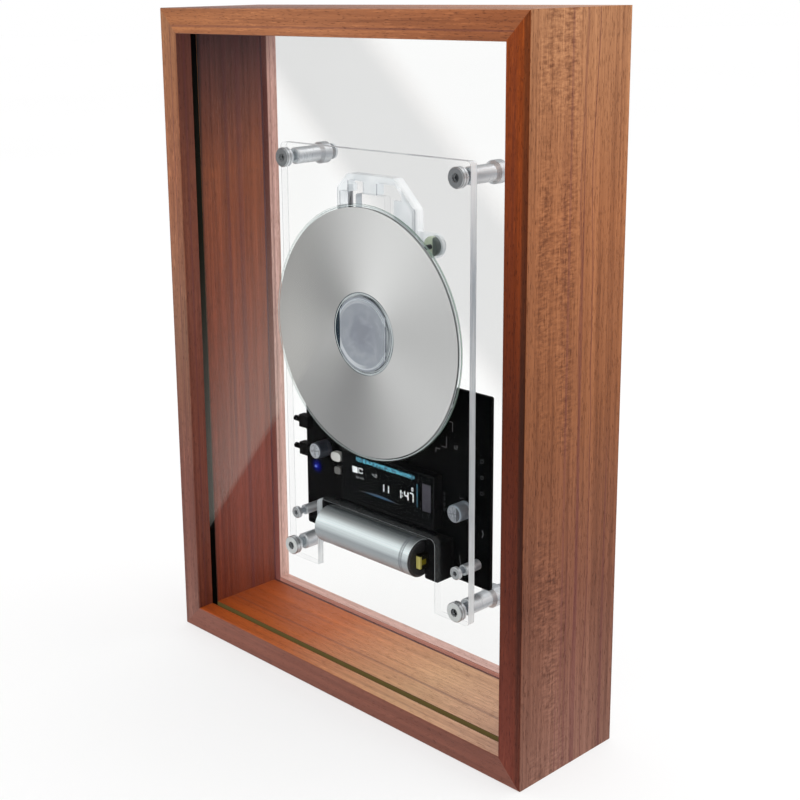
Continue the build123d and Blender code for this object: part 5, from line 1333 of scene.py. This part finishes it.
# %% Marks printed on the board
BOARD_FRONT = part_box("circuit_board")[0].y
silk = moulded("silk_print", paint(112, 114, 118), 0.6, spread=0.25)
foil = moulded("dark_foil", paint(52, 50, 62), 0.5, spread=0.2)
INK, INK_GAP = 0.06 * MM, 0.005 * MM
flat_piece("board_patch", [block(24.7, 91.0, 30.0, 104.3)], face, foil,
           thickness=INK)
flat_piece("board_outlines",
           strokes(0.3, (36.4, 135.6, 38.6, 135.6), (38.4, 135.8, 38.4, 131.0),
                   (28.1, 121.1, 30.8, 121.1), (34.6, 128.0, 34.6, 122.6),
                   (31.5, 122.8, 34.8, 122.8), (28.1, 118.9, 28.1, 121.3),
                   (29.1, 99.0, 29.1, 95.2), (29.0, 95.4, 31.6, 95.4),
                   (31.2, 99.6, 31.2, 97.6), (56.4, 88.6, 57.4, 86.8),
                   (57.4, 87.0, 56.4, 84.9), (42.9, 72.6, 43.6, 68.0))
           + figures("12", 38.6, 123.2, width=1.0, height=1.8, pen=0.24, step=1.8)
           + figures("47", 43.0, 99.6, width=0.8, height=1.4, pen=0.2, step=1.4),
           BOARD_FRONT - INK_GAP, silk, thickness=INK)

# %% Rings of solder round test pads
def pad_tree(material):
    """A row of flat rings whose axes run along y."""
    s = Steps("row_of_pads")
    count = s.given("Count", "NodeSocketInt", 4)
    start = s.given("Start", "NodeSocketVector", (0, 0, 0))
    step = s.given("Step", "NodeSocketVector", (0, 0, 0))
    outer = s.given("Radius", "NodeSocketFloat", 0.0008)
    wire = s.given("Wire", "NodeSocketFloat", 0.0002)
    row = s.node("GeometryNodeMeshLine", None, {"Count": count, "Start Location": start,
                                                "Offset": step})
    ring = s.node("GeometryNodeCurvePrimitiveCircle", None, {"Resolution": 20, "Radius": outer})
    section = s.node("GeometryNodeCurvePrimitiveCircle", None, {"Resolution": 6, "Radius": wire})
    tube = s.node("GeometryNodeCurveToMesh", None, {0: ring.outputs[0], 1: section.outputs[0]})
    placed = s.node("GeometryNodeInstanceOnPoints", None, {
        "Points": row.outputs[0], "Instance": tube.outputs[0],
        "Rotation": (math.radians(90), 0, 0)})
    return s.finish(placed.outputs[0], material)


tin = metal("dull_tin", paint(78, 80, 84), 0.5, metallic=0.4)
row_of_pads = pad_tree(tin)
for name, count, start, step, radius in (
        ("test_pads_left", 4, (33.4, 92.2), 2.7, 0.55),
        ("test_pads_right", 3, (56.2, 106.0), 7.6, 0.8)):
    grown(name, row_of_pads, {
        "Count": count, "Start": (start[0] * MM, BOARD_FRONT - 0.02 * MM, start[1] * MM),
        "Step": (0.0, 0.0, step * MM), "Radius": radius * MM, "Wire": 0.12 * MM})

# %% [markdown]
# ## The ribbon
#
# A flat ribbon joins the moving pickup to the board. In the imported model it is a stiff
# stand-in. Here a thin strip bent from the connector to the pickup takes its place. Its
# conductors are stripes in the finish.

# %% Ribbon finish
STRIPE_PITCH = 0.8 * MM
f = Finish("ribbon_film")
stripes = f.waves(f.along()[0], STRIPE_PITCH)
film = f.noise((0.004, 0.004, 0.01), detail=2.0)
ribbon_film = f.done(f.shell(
    base=f.colour(stripes.between(0.3, 0.7), paint(150, 84, 40), paint(206, 150, 92)),
    rough=0.3 + film * 0.1, specular=0.5, normal=f.bump(stripes * 0.6 + film * 0.4, 0.00003)))

# %% A strip that bends from the connector to the pickup
RIBBON_THICKNESS = 0.24 * MM
RIBBON_INSET = 0.05 * MM
BEND, LAST_BEND = 2.2 * MM, 1.2 * MM
BEND_STEPS = 6
ribbon_low, ribbon_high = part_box("pickup_ribbon")
connector_low, connector_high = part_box("ribbon_connector")
ribbon_foot = (connector_low.y + connector_high.y) / 2
ribbon_back = ribbon_high.y - 0.15 * MM
ribbon_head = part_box("pickup_board")[1].y + 0.25 * MM
ribbon_route = [(ribbon_foot, ribbon_low.z + 0.05 * MM, 0),
                (ribbon_foot, connector_high.z + 3.0 * MM, BEND),
                (ribbon_back, connector_high.z + 10.0 * MM, BEND),
                (ribbon_back, ribbon_high.z - 9.0 * MM, BEND),
                (ribbon_head, ribbon_high.z - 3.4 * MM, LAST_BEND),
                (ribbon_head, ribbon_high.z - 0.05 * MM, 0)]


def rounded(route):
    """A route of (y, z, radius) with its corners cut by short curves."""
    points = []
    for k, (y, z, radius) in enumerate(route):
        here = Vector((y, z))
        if not radius:
            points.append(here)
            continue
        before = (Vector(route[k - 1][:2]) - here).normalized()
        after = (Vector(route[k + 1][:2]) - here).normalized()
        reach = radius / math.tan(before.angle(after) / 2)
        start, end = here + before * reach, here + after * reach
        for j in range(BEND_STEPS + 1):
            share = j / BEND_STEPS
            points.append(start.lerp(here, share).lerp(here.lerp(end, share), share))
    return points


middle_line = rounded(ribbon_route)
strip = bmesh.new()
rows = []
for k, point in enumerate(middle_line):
    before, after = middle_line[max(k - 1, 0)], middle_line[min(k + 1, len(middle_line) - 1)]
    direction = (after - before).normalized()
    normal = Vector((-direction.y, direction.x)) * RIBBON_THICKNESS / 2
    rows.append([strip.verts.new((x, *(point + normal * side)))
                 for x, side in ((ribbon_low.x + RIBBON_INSET, 1), (ribbon_high.x - RIBBON_INSET, 1),
                                 (ribbon_high.x - RIBBON_INSET, -1),
                                 (ribbon_low.x + RIBBON_INSET, -1))])
for first, second in zip(rows, rows[1:]):
    for k in range(4):
        strip.faces.new((first[k], first[(k + 1) % 4], second[(k + 1) % 4], second[k]))
strip.faces.new(rows[0])
strip.faces.new(rows[-1][::-1])
bmesh.ops.recalc_face_normals(strip, faces=strip.faces)
ribbon_mesh = bpy.data.meshes.new("soft_ribbon")
strip.to_mesh(ribbon_mesh)
strip.free()
ribbon_mesh.materials.append(ribbon_film)
soft_ribbon = bpy.data.objects.new("soft_ribbon", ribbon_mesh)
scene.collection.objects.link(soft_ribbon)
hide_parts("pickup_ribbon")
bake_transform(soft_ribbon)
dressed.append("pickup_ribbon")
print("soft_ribbon", len(ribbon_mesh.polygons), "faces")

# %% [markdown]
# ## The pieces without a finish
#
# The imported nodes that got no finish are listed. The dressed model must stay inside the
# imported model's box.

# %% List the pieces without a finish
print("CAD nodes with no finish:", sorted(set(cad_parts) - set(dressed)))
